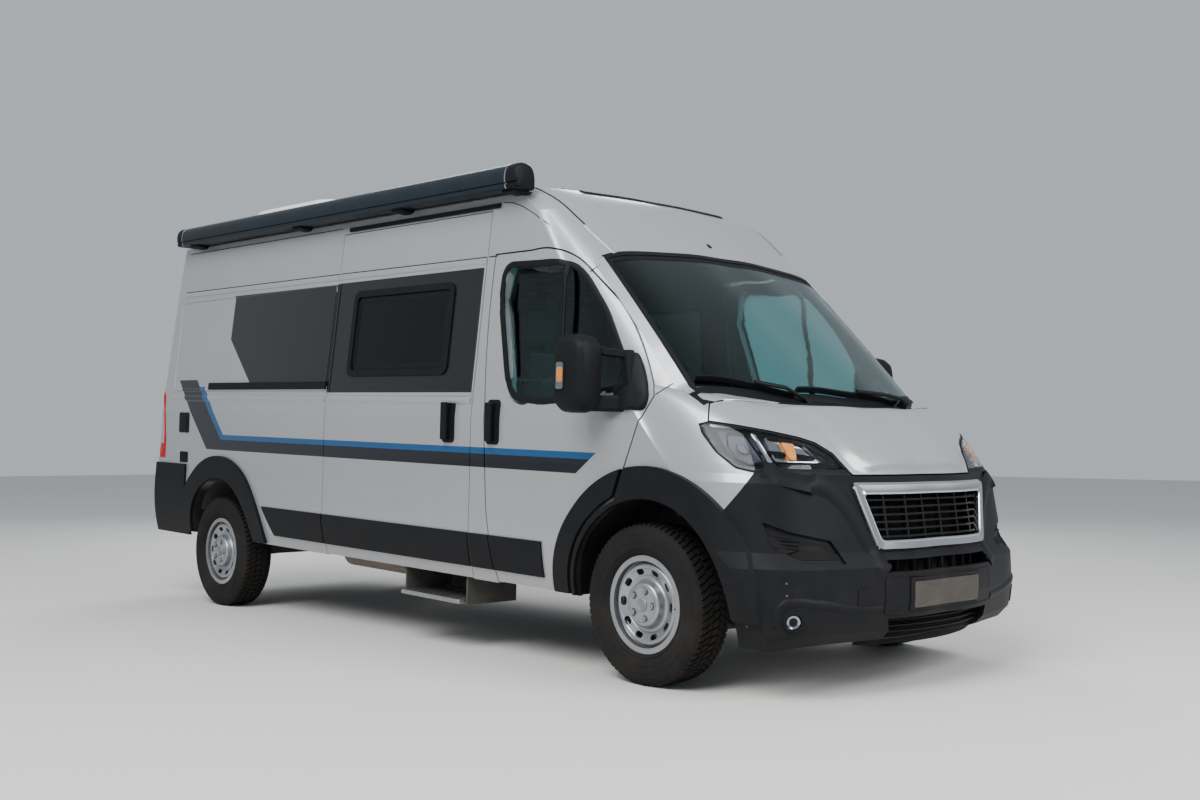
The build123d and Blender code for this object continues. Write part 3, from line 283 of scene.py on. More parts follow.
FINISHES = (
    # name, kind, then what the kind takes
    ("black_plastic", plastic, (0.0065, 0.007, 0.0085), 0.5, 700.0, 0.035),
    ("cab_glass", glass, (0.35, 0.62, 0.62), 0.02, 1.3),
    ("tinted_acrylic", glass, (0.03, 0.032, 0.028), 0.02, 1.3),
    ("red_lens", plastic, (0.35, 0.01, 0.01), 0.12, 200.0, 0.2, 0.1),
    ("clear_lens", glass, (0.95, 0.96, 0.97), 0.02, 1.2),
    ("lamp_chrome", metal, (0.016, 0.019, 0.026), 0.3, 0.9, 0.0),
    ("chrome_trim", metal, (0.6, 0.61, 0.63), 0.17, 1.0, 0.0, 3.0),
    ("cast_metal", metal, (0.08, 0.07, 0.065), 0.7, 0.6, 0.6),
    ("chassis_steel", metal, (0.03, 0.03, 0.03), 0.65, 0.3, 0.6),
    ("cast_alloy", metal, (0.3, 0.3, 0.31), 0.5, 0.9, 0.4),
    ("underbody_paint", plastic, (0.045, 0.045, 0.045), 0.7, 300.0, 0.3),
    ("liner_plastic", plastic, (0.006, 0.006, 0.007), 0.8, 300.0, 0.06),
    ("exhaust_steel", metal, (0.22, 0.18, 0.15), 0.6, 0.8, 0.5),
    ("step_aluminium", metal, (0.42, 0.42, 0.43), 0.4, 1.0, 0.35),
    ("interior_plastic", plastic, (0.03, 0.03, 0.032), 0.6, 500.0, 0.0),
    ("upholstery", fabric, (0.05, 0.05, 0.055)),
    ("furniture_wood", wood, (0.36, 0.27, 0.18)),
    ("mattress_cover", fabric, (0.5, 0.48, 0.45)),
    ("awning_case", plastic, (0.012, 0.017, 0.022), 0.3, 120.0, 0.0, 0.05),
    ("white_plastic", plastic, (0.75, 0.75, 0.75), 0.35, 300.0, 0.0, 0.1),
    ("solar_glass", plastic, (0.008, 0.012, 0.03), 0.15, 100.0, 0.0, 0.05),
    ("tyre_rubber", plastic, (0.009, 0.009, 0.0095), 0.75, 400.0, 0.06, 0.3),
    ("wheel_steel", metal, (0.36, 0.37, 0.385), 0.34, 0.85, 0.12, 6.0),
    ("lamp_bezel", plastic, (0.008, 0.009, 0.012), 0.4, 300.0, 0.0, 0.05),
    ("lamp_mirror", metal, (0.36, 0.38, 0.4), 0.15, 1.0, 0.0, 3.0),
    ("amber_lens", plastic, (0.62, 0.25, 0.07), 0.2, 200.0, 0.0, 0.1),
    ("mirror_glass", metal, (0.8, 0.82, 0.83), 0.03, 1.0, 0.05),
    ("plate_blank", plastic, (0.05, 0.047, 0.043), 0.6, 300.0, 0.15, 0.05),
    ("seam_rubber", plastic, (0.02, 0.02, 0.02), 0.7, 300.0, 0.2),
    ("screen_black", plastic, (0.01, 0.01, 0.012), 0.1, 200.0, 0.0, 0.02),
)
MATERIALS = {"body_paint": body_paint()}
for finish, kind, *settings in FINISHES:
    MATERIALS[finish] = kind(finish, *settings)

BLACK, PAINT, LINER = "black_plastic", "body_paint", "liner_plastic"

SMOOTH_ANGLE = math.radians(32)


def smooth(obj):
    """Soft shading except over sharp edges."""
    obj.data.shade_smooth()
    obj.data.set_sharp_from_angle(angle=SMOOTH_ANGLE)


def dress_nodes():
    """Each CAD node's finish, from its slot in the record."""
    slots = {row["node"]: row["material_slot"] for row in frame["record"]["subparts"]}
    for name, obj in frame["nodes"].items():
        obj.data.materials.clear()
        obj.data.materials.append(MATERIALS[slots[name]])
        smooth(obj)


dress_nodes()


# Views: where a drawn point starts, in the level body, and which way it looks for the skin

CORNER_TURN = math.radians(50)
SLOPE = math.radians(41.5)
SIDE_FAR = 2.0
END_FAR = 4.0
CORNER_FAR = 3.6
SLOPE_FAR = 3.0
DRIVER_X = 0.6
DRIVER_LOOK = Vector((1, 0, -0.25))


def from_side(x, z):
    return Vector((x, -SIDE_FAR, z)), Vector((0, 1, 0))


def from_left(x, z):
    return Vector((x, SIDE_FAR, z)), Vector((0, -1, 0))


def from_front(y, z):
    return Vector((END_FAR, y, z)), Vector((-1, 0, 0))


def from_rear(y, z):
    return Vector((-END_FAR, y, z)), Vector((1, 0, 0))


def from_top(x, y):
    return Vector((x, y, END_FAR)), Vector((0, 0, -1))


def from_corner(u, z):
    """A level view at 50 degrees on the front right corner: u runs to the front."""
    sine, cosine = math.sin(CORNER_TURN), math.cos(CORNER_TURN)
    start = Vector((u * sine + CORNER_FAR * cosine, u * cosine - CORNER_FAR * sine, z))
    return start, Vector((-cosine, sine, 0))


def from_slope(s, y):
    """A view square to the windscreen: s runs up the slope."""
    sine, cosine = math.sin(SLOPE), math.cos(SLOPE)
    start = Vector((SLOPE_FAR * sine - s * cosine, y, SLOPE_FAR * cosine + s * sine))
    return start, Vector((-sine, 0, -cosine))


def from_driver(y, z):
    """A view from the seats down on the dashboard."""
    return Vector((DRIVER_X, y, z - DRIVER_LOOK.z)), DRIVER_LOOK.normalized()


NEIGHBOURS = 3
DEPTH_JUMP = 0.03
GRAZING = -0.15


class Skin:
    """The outside of some CAD nodes in the level body, as a view meets it, for laying details on it."""

    def __init__(self, view, *nodes):
        self.view = view
        verts = []
        faces = []
        for name in nodes:
            mesh = frame["nodes"][name].data
            base = len(verts)
            verts += [LEVEL @ v.co for v in mesh.vertices]
            mesh.calc_loop_triangles()
            faces += [[base + corner for corner in tri.vertices] for tri in mesh.loop_triangles]
        self.tree = BVHTree.FromPolygons(verts, faces)

    def land(self, points):
        """Where a view's points meet the skin, and its normals. Over a gap the neighbours' depth goes on."""
        starts = [self.view(*point) for point in points]
        hits = [self.tree.ray_cast(start, way) for start, way in starts]
        depths = [hit[3] for hit in hits]
        places = []
        for index, (start, way) in enumerate(starts):
            beside = depths[max(0, index - NEIGHBOURS):index + NEIGHBOURS + 1]
            near = sorted(d for d in beside if d is not None)
            if not near:
                near = sorted(d for d in depths if d is not None)
            if not near:
                raise ValueError(f"nothing to lie on near {points[0]}")
            usual = near[len(near) // 2]
            depth = depths[index]
            if depth is None or abs(depth - usual) > DEPTH_JUMP:
                depth = usual
            normal = hits[index][1]
            if normal is None or normal.dot(way) > GRAZING:
                normal = -way
            places.append((start + way * depth, normal.normalized()))
        return places


def along(path, step, closed=False):
    """A path of straight runs, cut into steps."""
    stops = list(path) + ([path[0]] if closed else [])
    points = []
    for (a0, b0), (a1, b1) in zip(stops, stops[1:]):
        count = max(1, round(math.hypot(a1 - a0, b1 - b0) / step))
        points += [(a0 + (a1 - a0) * i / count, b0 + (b1 - b0) * i / count) for i in range(count)]
    return points if closed else points + [stops[-1]]


ROUND_SHARE = 0.45


def rounded(path, radius, steps=5):
    """A closed outline with its corners rounded, at most over a share of the runs beside them."""
    turned = []
    for before, corner, after in zip(path[-1:] + path[:-1], path, path[1:] + path[:1]):
        corner = Vector(corner)
        back = Vector(before) - corner
        forth = Vector(after) - corner
        reach = min(radius, back.length * ROUND_SHARE, forth.length * ROUND_SHARE)
        start = corner + back.normalized() * reach
        end = corner + forth.normalized() * reach
        for i in range(steps + 1):
            t = i / steps
            turned.append(tuple(start * (1 - t) ** 2 + corner * 2 * t * (1 - t) + end * t ** 2))
    return turned


def scaled(outline, middle, share):
    """An outline at a share of its size about its middle."""
    return [tuple(middle + (Vector(p) - middle) * share) for p in outline]


def circle(u, z, radius, count=20):
    angles = [k * 2 * math.pi / count for k in range(count)]
    return [(u + radius * math.cos(a), z + radius * math.sin(a)) for a in angles]


def window_box(low_x, high_x, low_z, high_z, radius):
    """A rectangle with rounded corners."""
    return rounded([(low_x, low_z), (high_x, low_z), (high_x, high_z), (low_x, high_z)], radius)


# Pieces

MERGE = 1e-6


def make(name, verts, faces, finish, body=VAN, both=False, crisp=False):
    """A closed piece in the level body. With both, its mirror image is made too, on the body's other side."""
    sides = ((1, name, body),)
    if both:
        sides = ((1, name + "_right", body), (-1, name + "_left", body.replace("right", "left")))
    made = []
    for sign, title, owner in sides:
        mesh = bpy.data.meshes.new(title)
        mesh.from_pydata([SETTLE @ Vector((x, y * sign, z)) for x, y, z in verts], [], faces)
        shape = bmesh.new()
        shape.from_mesh(mesh)
        bmesh.ops.remove_doubles(shape, verts=shape.verts, dist=MERGE)
        bmesh.ops.recalc_face_normals(shape, faces=shape.faces)
        shape.to_mesh(mesh)
        shape.free()
        mesh.materials.append(MATERIALS[finish])
        obj = bpy.data.objects.new(title, mesh)
        bpy.context.scene.collection.objects.link(obj)
        if not crisp:
            smooth(obj)
        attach(obj, owner)
        made.append(obj)
    return made


def band(here, there, size):
    """Faces between two rings of verts."""
    return [(here + j, here + (j + 1) % size, there + (j + 1) % size, there + j) for j in range(size)]


def fan(ring, size, tip):
    """Faces from a ring of verts to a tip."""
    return [(ring + j, ring + (j + 1) % size, tip) for j in range(size)]


def tube(rows, closed):
    """Verts and faces of a section carried along rows."""
    size = len(rows[0])
    verts = [tuple(v) for row in rows for v in row]
    faces = []
    for i in range(len(rows) if closed else len(rows) - 1):
        faces += band(i * size, (i + 1) % len(rows) * size, size)
    if not closed:
        faces.append(tuple(range(size)))
        faces.append(tuple(range(len(verts) - size, len(verts))))
    return verts, faces


# Sections of ribbons and bars, in shares of their width and height
BEAD = ((-0.5, 0.0), (-0.5, 0.55), (-0.32, 1.0), (0.32, 1.0), (0.5, 0.55), (0.5, 0.0))
SOFT = ((-0.5, 0.0), (-0.36, 0.3), (-0.18, 0.8), (0.0, 1.0), (0.18, 0.8), (0.36, 0.3), (0.5, 0.0),
        (0.3, -1.0), (-0.3, -1.0))
FLAT = ((-0.5, 0.0), (-0.5, 1.0), (0.5, 1.0), (0.5, 0.0))
BAR = ((-0.5, -0.3), (-0.5, 0.3), (-0.3, 0.5), (0.3, 0.5), (0.5, 0.3), (0.5, -0.3), (0.3, -0.5), (-0.3, -0.5))


def ribbon(name, skin, path, width, height, finish, body=VAN, both=False, closed=False, step=0.04,
           section=BEAD, sink=0.003):
    """A strip laid along a path on the skin."""
    landed = skin.land(along(path, step, closed))
    count = len(landed)
    rows = []
    for i, (place, normal) in enumerate(landed):
        ahead = landed[(i + 1) % count][0] if closed or i + 1 < count else place
        behind = landed[i - 1][0] if closed or i else place
        across = normal.cross(ahead - behind).normalized()
        rows.append([place + across * width * a + normal * (height * up if up else -sink)
                     for a, up in section])
    return make(name, *tube(rows, closed), finish, body, both)


def relief(name, skin, outline, rings, finish, body=VAN, both=False, step=0.04, sink=0.004, under=()):
    """A plate laid on the skin, built of rings of its outline, each with its share and its height. A wide
    plate has rings on its underside too."""
    points = along(outline, step, True)
    middle = Vector((0, 0))
    for point in points:
        middle += Vector(point) / len(points)
    verts = []
    levels = (*under, (1.0, -sink), *rings)
    for share, height in levels:
        landed = skin.land(scaled(points, middle, share))
        verts += [place + normal * height for place, normal in landed]
    size = len(points)
    tips = [sum(ring, Vector()) / size for ring in (verts[-size:], verts[:size])]
    last = (len(levels) - 1) * size
    faces = []
    for start in range(0, last, size):
        faces += band(start, start + size, size)
    verts += tips
    faces += fan(last, size, len(verts) - 2) + fan(0, size, len(verts) - 1)
    return make(name, verts, faces, finish, body, both)


def spun(name, place, axis, profile, finish, body=VAN, both=False, steps=32, crisp=False):
    """A profile of radius and reach turned about an axis; it closes on the axis at both ends."""
    place, axis = Vector(place), Vector(axis).normalized()
    across = axis.orthogonal().normalized()
    up = axis.cross(across)
    verts = [place + axis * profile[0][1], place + axis * profile[-1][1]]
    faces = []
    for radius, reach in profile:
        for i in range(steps):
            angle = 2 * math.pi * i / steps
            verts.append(place + axis * reach + (across * math.cos(angle) + up * math.sin(angle)) * radius)
    last = 2 + (len(profile) - 1) * steps
    for start in range(2, last, steps):
        faces += band(start, start + steps, steps)
    faces += fan(2, steps, 0) + fan(last, steps, 1)
    return make(name, verts, faces, finish, body, both, crisp)


def sweep(name, places, up, size, finish, body=VAN, both=False):
    """A chamfered bar through places; size is its width and height."""
    width, height = size
    rows = []
    for i, place in enumerate(places):
        way = Vector(places[min(i + 1, len(places) - 1)]) - Vector(places[max(i - 1, 0)])
        side = way.cross(Vector(up)).normalized()
        rise = side.cross(way).normalized()
        rows.append([Vector(place) + side * width * a + rise * height * b for a, b in BAR])
    return make(name, *tube(rows, False), finish, body, both)


# Details laid on the skin of the CAD nodes

SIDE_NODES = ("side_frame_right", "sliding_door", "front_door_right", "front_wings", "roof_panel")
DOOR_WINDOW = ((0.975, 1.978), (1.353, 1.966), (1.45, 1.945), (1.53, 1.885), (1.7, 1.7), (1.84, 1.49),
               (1.893, 1.4), (1.88, 1.335), (1.42, 1.272), (1.25, 1.272), (1.13, 1.29), (1.07, 1.34),
               (1.04, 1.42), (0.935, 1.79), (0.94, 1.93))
PANE_ROWS = 30
PANE_CUTS = 12
PANE_FOOT = 1.276
PANE_RISE = 0.698
PANE_THICKNESS = 0.004
# The windscreen's edges in the sloped view
SCREEN_TOP = 0.152
SCREEN_CORNER = -0.795
SCREEN_FOOT = -0.975
SCREEN_HALF = 0.903


def window_trim():
    """Rubber seals and printed bands round the glass, the front doors' panes and the pillars' covers."""
    side = Skin(from_side, *SIDE_NODES, "front_door_right_glass", "side_windows")
    outline = rounded(list(DOOR_WINDOW), 0.06)
    ribbon("door_window_seal", side, outline, 0.034, 0.006, BLACK, RIGHT_DOOR, True, True)
    rows = []
    for k in range(PANE_ROWS):
        z = PANE_FOOT + PANE_RISE * k / (PANE_ROWS - 1)
        cuts = sorted(x0 + (x1 - x0) * (z - z0) / (z1 - z0) for (x0, z0), (x1, z1) in runs(outline)
                      if (z0 - z) * (z1 - z) < 0)
        rear, front = (place for place, _ in side.land([(cuts[0], z), (cuts[-1], z)]))
        outer = [rear.lerp(front, i / PANE_CUTS) for i in range(PANE_CUTS + 1)]
        rows.append(outer + [place + Vector((0, PANE_THICKNESS, 0)) for place in reversed(outer)])
    panes = make("door_pane", *tube(rows, False), "cab_glass", RIGHT_DOOR, True)
    for pane, end in zip(panes, ("right", "left")):
        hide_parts(f"front_door_{end}_glass")
    ribbon("door_window_bar", side, [(1.46, 1.285), (1.405, 1.955)], 0.03, 0.009, BLACK, RIGHT_DOOR, True)
    screen = Skin(from_slope, "windscreen")
    for title, inset, width, height in (("frit", 0.024, 0.048, 0.0015), ("seal", 0.003, 0.03, 0.006)):
        top, low, middle = SCREEN_TOP - inset, SCREEN_CORNER + inset, SCREEN_FOOT + inset
        bow = [(low + (middle - low) * (1 - (y / SCREEN_HALF) ** 2), y)
               for y in (0.885, 0.75, 0.55, 0.3, 0, -0.3, -0.55, -0.75, -0.885)]
        for place, path in (("top", [(top, -0.825), (top, 0.825)]), ("low", bow)):
            ribbon(f"screen_{title}_{place}", screen, path, width, height, BLACK, section=FLAT)
    for title, inset, width, height, sink, finish in (
            ("screen_frit_side", 0.044, 0.022, 0.0025, 0.003, BLACK),
            ("pillar_cover", 0.01, 0.054, 0.006, 0.014, PAINT)):
        ribbon(title, screen, [(0.15, -0.855 + inset), (-0.79, -0.9 + inset)], width, height, finish,
               both=True, section=FLAT, sink=sink)
    pillar = Skin(from_corner, "side_frame_right", "windscreen", "front_wings", "front_door_right")
    for title, path in (("top", [(0.652, 1.943), (0.603, 1.907)]),
                        ("low", [(1.082, 1.381), (1.045, 1.359), (0.966, 1.306)])):
        ribbon(f"pillar_joint_{title}", pillar, path, 0.006, 0.002, "seam_rubber", both=True, step=0.02)
    tail = Skin(from_rear, "rear_door_right_window", "rear_door_right")
    ribbon("rear_window_seal", tail, window_box(-0.69, -0.12, 1.38, 1.96, 0.06), 0.03, 0.006,
           BLACK, "right_rear_door", True, True)
    pane = window_box(-0.397, 0.475, 1.466, 1.862, 0.03)
    ribbon("side_window_print", Skin(from_side, "side_windows"), pane, 0.03, 0.0015, BLACK, closed=True,
           section=FLAT)


# Which way is up off the windscreen, and how far along its blade an arm holds it
SCREEN_UP = (0.66, 0, 0.75)
HOLD = 0.55


def wipers():
    """Two long wipers parked at the foot of the windscreen."""
    screen = Skin(from_slope, "windscreen")
    for title, blade, pivot in (("outer", ((-0.725, -0.83), (-0.925, -0.38)), (-0.97, -0.3)),
                                ("inner", ((-0.885, -0.33), (-0.945, 0.42)), (-0.965, 0.46))):
        ribbon(f"wiper_blade_{title}", screen, blade, 0.014, 0.03, BLACK, step=0.05)
        held = Vector(blade[0]) * (1 - HOLD) + Vector(blade[1]) * HOLD
        reach = [tuple(Vector(pivot) * (1 - t) + held * t) for t in (0, 0.12, 0.5, 1)]
        places = [place + normal * rise for (place, normal), rise in
                  zip(screen.land(reach), (0.02, 0.045, 0.055, 0.04))]
        sweep(f"wiper_arm_{title}", places, SCREEN_UP, (0.022, 0.014), BLACK)
        hub = [(0.024, -0.03), (0.024, 0.012), (0.018, 0.02)]
        spun(f"wiper_hub_{title}", places[0], SCREEN_UP, hub, BLACK)


def ditches():
    """Lines and ridges of the forehead and along the roof, the strip on its crest and the aerial's mark."""
    roof = Skin(from_top, "roof_panel", "side_frame_right", "side_frame_left")
    line = [(1.4, -0.783), (1.311, -0.796), (1.2, -0.808), (1.1, -0.82), (0.9, -0.832)]
    ribbon("forehead_line", roof, line, 0.01, 0.0025, "seam_rubber", both=True, step=0.01)
    ridge = [(1.57, -0.757), (1.515, -0.764), (1.45, -0.777), (1.38, -0.785)]
    ribbon("forehead_ridge", roof, ridge, 0.03, 0.004, PAINT, both=True, step=0.01, section=SOFT)
    ribbon("roof_ridge", roof, [(1.0, -0.66), (0.8, -0.68), (-2.7, -0.68)], 0.05, 0.008, PAINT, both=True,
           step=0.08)
    ribbon("crest_strip", roof, [(1.09, y) for y in (-0.55, -0.3, 0, 0.3, 0.55)], 0.05, 0.008, BLACK)
    relief("roof_aerial_mark", Skin(from_front, "roof_panel"), window_box(-0.012, 0.012, 2.118, 2.14, 0.01),
           ((1.0, 0.004), (0.6, 0.006)), BLACK, step=0.01)


BONNET_PANEL = ((-1.045, 0), (-1.032, -0.3), (-1.022, -0.45), (-1.02, -0.555), (-1.066, -0.535),
                (-1.166, -0.503), (-1.235, -0.498), (-1.303, -0.496), (-1.375, -0.483), (-1.44, -0.452),
                (-1.468, -0.4), (-1.478, -0.2), (-1.48, 0))
BONNET_RISE = 0.013


def bonnet_panel():
    """The raised middle of the bonnet between its two folds."""
    outline = list(BONNET_PANEL) + [(s, -y) for s, y in reversed(BONNET_PANEL[1:-1])]
    inner = [0.84 - 0.08 * k for k in range(11)]
    rings = [(1.0, 0.0004), (0.975, 0.002), (0.94, 0.007), (0.91, 0.0105), (0.88, 0.0125)]
    rings += [(share, BONNET_RISE) for share in inner]
    relief("bonnet_middle", Skin(from_slope, "bonnet"), outline, rings, PAINT, "bonnet_lid", step=0.03,
           sink=0.002, under=[(share, -0.002) for share in reversed(inner)])


COWL_CORNER = ((-0.806, -0.845), (-0.835, -0.8), (-0.88, -0.7), (-0.945, -0.59), (-0.978, -0.53),
               (-0.976, -0.575), (-0.95, -0.685), (-0.926, -0.785), (-0.912, -0.85), (-0.86, -0.885),
               (-0.82, -0.88))


def cowl_corners():
    """The painted corners between the windscreen's foot, the wings and the bonnet."""
    relief("cowl_corner", Skin(from_slope, "scuttle_panel", "front_wings", "windscreen"), list(COWL_CORNER),
           ((1.0, 0.002), (0.96, 0.004), (0.6, 0.004), (0.3, 0.004)), PAINT, both=True, step=0.02)


SURROUND_OUTER = ((-0.527, 0.932), (-0.43, 0.642), (0.43, 0.642), (0.527, 0.932))
SURROUND_INNER = ((-0.466, 0.886), (-0.396, 0.686), (0.396, 0.686), (0.466, 0.886))
SURROUND_STEP = 0.03


def surround():
    """The grille's chromed frame: a band with rounded corners that rolls in to the opening."""
    nose = Skin(from_front, "grille_surround", "front_bumper")
    edges = [rounded(list(SURROUND_OUTER), 0.03, 8), rounded(list(SURROUND_INNER), 0.022, 8)]
    counts = [max(1, round(math.dist(a, b) / SURROUND_STEP)) for a, b in runs(edges[0])]
    outer, inner = ([(a[0] + (b[0] - a[0]) * i / count, a[1] + (b[1] - a[1]) * i / count)
                     for (a, b), count in zip(runs(edge), counts) for i in range(count)]
                    for edge in edges)
    rings = (
        # share of the way in, height
        (0.0, -0.004), (0.0, 0.008), (0.14, 0.014), (0.22, 0.0125), (0.8, 0.0085), (0.86, 0.0105),
        (1.0, 0.006), (1.0, -0.02),
    )
    laid = []
    for share, height in rings:
        ring = [tuple(Vector(a) * (1 - share) + Vector(b) * share) for a, b in zip(outer, inner)]
        laid.append([place + normal * height for place, normal in nose.land(ring)])
    frame_piece = make("surround_frame", *tube([list(row) for row in zip(*laid)], True), "chrome_trim")[0]
    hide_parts("grille_surround")


def headlamps():
    """Bezel, reflectors, the amber indicator and the light strip behind each lens, and the lens's seal."""
    bowl = Skin(from_corner, "front_lamps")
    bezel = rounded([(1.212, 1.164), (1.47, 1.134), (1.67, 1.088), (1.745, 1.05), (1.795, 0.996),
                     (1.468, 1.0), (1.42, 0.99), (1.345, 1.004), (1.262, 1.066)], 0.02)
    relief("lamp_bezel", bowl, bezel, ((1.0, 0.006), (0.9, 0.004)), "lamp_bezel", both=True, step=0.02)
    reflectors = (
        # name, outline, finish, rings
        ("beam_outer", [(1.29, 1.135), (1.375, 1.125), (1.46, 1.012), (1.4, 1.0), (1.345, 1.02), (1.3, 1.07)],
         "lamp_chrome",
         ((1.0, 0.02), (0.92, 0.021), (0.86, 0.012), (0.55, 0.008), (0.35, 0.012), (0.28, 0.02))),
        ("beam_inner", [(1.45, 1.112), (1.62, 1.078), (1.695, 1.008), (1.5, 1.012)], "lamp_mirror",
         ((1.0, 0.02), (0.93, 0.021), (0.87, 0.01), (0.55, 0.006), (0.3, 0.01), (0.24, 0.018))),
        ("lamp_fin", [(1.395, 1.128), (1.412, 1.126), (1.492, 1.006), (1.474, 1.006)],
         "chrome_trim", ((1.0, 0.024), (0.6, 0.027))),
        ("indicator", [(1.515, 1.09), (1.575, 1.082), (1.592, 1.014), (1.56, 1.01)],
         "amber_lens", ((1.0, 0.02), (0.9, 0.03), (0.5, 0.034))),
        ("beam_shelf", [(1.43, 1.06), (1.68, 1.032), (1.69, 1.022), (1.44, 1.046)],
         "lamp_bezel", ((1.0, 0.022), (0.8, 0.026))),
        ("day_light", [(1.22, 1.17), (1.47, 1.14), (1.62, 1.108), (1.62, 1.1), (1.47, 1.13), (1.235, 1.158)],
         "lamp_mirror", ((1.0, 0.012), (0.7, 0.015))),
    )
    for title, outline, finish, rings in reflectors:
        relief(title, bowl, rounded(outline, 0.012), rings, finish, both=True, step=0.02)
    lens = Skin(from_corner, "headlamp_lenses", "front_bumper", "bonnet", "front_wings")
    edge = [(1.175, 1.178), (1.209, 1.186), (1.335, 1.17), (1.482, 1.147), (1.607, 1.122), (1.679, 1.1),
            (1.755, 1.055), (1.825, 0.981), (1.779, 0.985), (1.464, 0.991), (1.417, 0.978), (1.339, 0.993),
            (1.251, 1.06), (1.188, 1.14)]
    ribbon("lamp_seal", lens, edge, 0.01, 0.002, BLACK, both=True, closed=True, step=0.03)


NOSE_BOW = 0.1
RAIL_SPOTS = [k * 0.05 for k in range(-8, 9)]
FOG_LAMP = (1.592, 0.359)
# Near-black sheets fill the openings: partly their black mesh, partly painted shade of the dark space behind
# it
OPENINGS = (
    # name, low, high, half width, forward
    ("grille_mesh_and_shade", 0.66, 0.915, 0.68, 2.847),
    ("slot_mesh_and_shade", 0.54, 0.615, 0.62, 2.912),
    ("intake_mesh_and_shade", 0.222, 0.36, 0.52, 2.912),
)
OPENING_CUTS = 20
MESH_THICKNESS = 0.006
RIB_FRONT = 2.955
SLAT_FRONT = 2.95
SCREW = 0.005
# The lower intake's ends rise, and their last share lies further forward
END_SHARE = 0.95
END_FORWARD = 0.06
END_RISE = 0.035


def bowed(front, y):
    """How far forward a line across the nose lies, bowed back by NOSE_BOW at half a metre from its middle."""
    return front - NOSE_BOW * (y / 0.5) ** 2


def bumper_details():
    """Dark sheets in the openings, partly their mesh and partly painted shade of the space behind, the plate
    and its holder, the towing cover, screws, ridges and the fog lamps.
    """
    face = Skin(from_front, "front_bumper")
    bumper = Skin(from_corner, "front_bumper")
    # Each opening is closed by a flat near-black sheet that stands for its mesh and paints the shade behind
    # it
    for title, low, high, half, forward in OPENINGS:
        rows = []
        for k in range(OPENING_CUTS + 1):
            share = 2 * k / OPENING_CUTS - 1
            x, y, foot = bowed(forward, share * half), share * half, low
            if title == "intake_mesh_and_shade":
                foot += END_RISE * share ** 20
                x += END_FORWARD if abs(share) > END_SHARE else 0
            back = x - MESH_THICKNESS
            rows.append([(x, y, foot), (x, y, high), (back, y, high), (back, y, foot)])
        make(title, *tube(rows, False), LINER)
    for k, y in enumerate(RAIL_SPOTS[::2]):
        places = [(bowed(RIB_FRONT, y), y, z) for z in (0.545, 0.61)]
        sweep(f"slot_rib_{k}", places, (1, 0, 0), (0.008, 0.03), BLACK)
    for k, z in enumerate((0.285, 0.31, 0.335)):
        places = [(bowed(SLAT_FRONT, y), y, z) for y in RAIL_SPOTS]
        sweep(f"intake_slat_{k}", places, (0, 0, 1), (0.03, 0.008), BLACK)
    for title, box, rings, finish, step in (
            ("plate_panel", (-0.43, 0.43, 0.37, 0.533, 0.02), ((1.0, 0.003), (0.98, 0.005)), BLACK, 0.04),
            ("plate_holder", (-0.285, 0.285, 0.38, 0.525, 0.015), ((1.0, 0.006), (0.98, 0.0075)),
             BLACK, 0.04),
            ("number_plate", (-0.26, 0.26, 0.393, 0.507, 0.012), ((1.0, 0.0085), (0.985, 0.0095)),
             "plate_blank", 0.04),
            ("tow_cover", (-0.58, -0.506, 0.414, 0.488, 0.006), ((1.0, 0.003),), BLACK, 0.02)):
        relief(title, face, window_box(*box), rings, finish, step=step)
    for k, (u, z) in enumerate(((1.56, 0.52), (1.562, 0.47), (1.4, 0.33))):
        relief(f"bumper_screw_{k}", bumper, window_box(u - SCREW, u + SCREW, z - SCREW, z + SCREW, SCREW),
               ((1.0, 0.002), (0.6, 0.003)), "cast_metal", both=True, step=0.01)
    ridge = [(1.452, 0.98), (1.526, 0.963), (1.6, 0.947), (1.693, 0.925), (1.751, 0.897), (1.809, 0.845),
             (1.848, 0.789), (1.898, 0.705), (1.946, 0.63), (1.99, 0.55)]
    ribbon("cheek_ridge", bumper, ridge, 0.1, 0.009, BLACK, both=True, step=0.02, section=SOFT)
    scoop = [(1.51, 0.34), (1.524, 0.4), (1.56, 0.437), (1.624, 0.443), (1.75, 0.42), (1.849, 0.4),
             (1.98, 0.39)]
    ribbon("fog_scoop", bumper, scoop, 0.045, 0.007, BLACK, both=True, step=0.02, section=SOFT)
    intake = [(1.475, 0.712), (1.6, 0.698), (1.72, 0.672), (1.79, 0.61), (1.63, 0.612), (1.51, 0.655)]
    relief("side_intake", bumper, intake, ((1.0, 0.002),), LINER, both=True, step=0.02)
    for k, z in enumerate((0.699, 0.682, 0.665)):
        ribbon(f"side_intake_slat_{k}", bumper, [(1.49 + 0.012 * k, z), (1.61, z - 0.008)], 0.007, 0.007,
               BLACK, both=True, step=0.02)
    ribbon("fog_rim", bumper, circle(*FOG_LAMP, 0.04), 0.012, 0.006, LINER, both=True, closed=True, step=0.02)
    relief("fog_bowl", Skin(from_corner, "front_lamps"), circle(*FOG_LAMP, 0.028),
           ((1.0, 0.004), (0.8, 0.001), (0.4, -0.002)), "lamp_mirror", both=True, step=0.02)


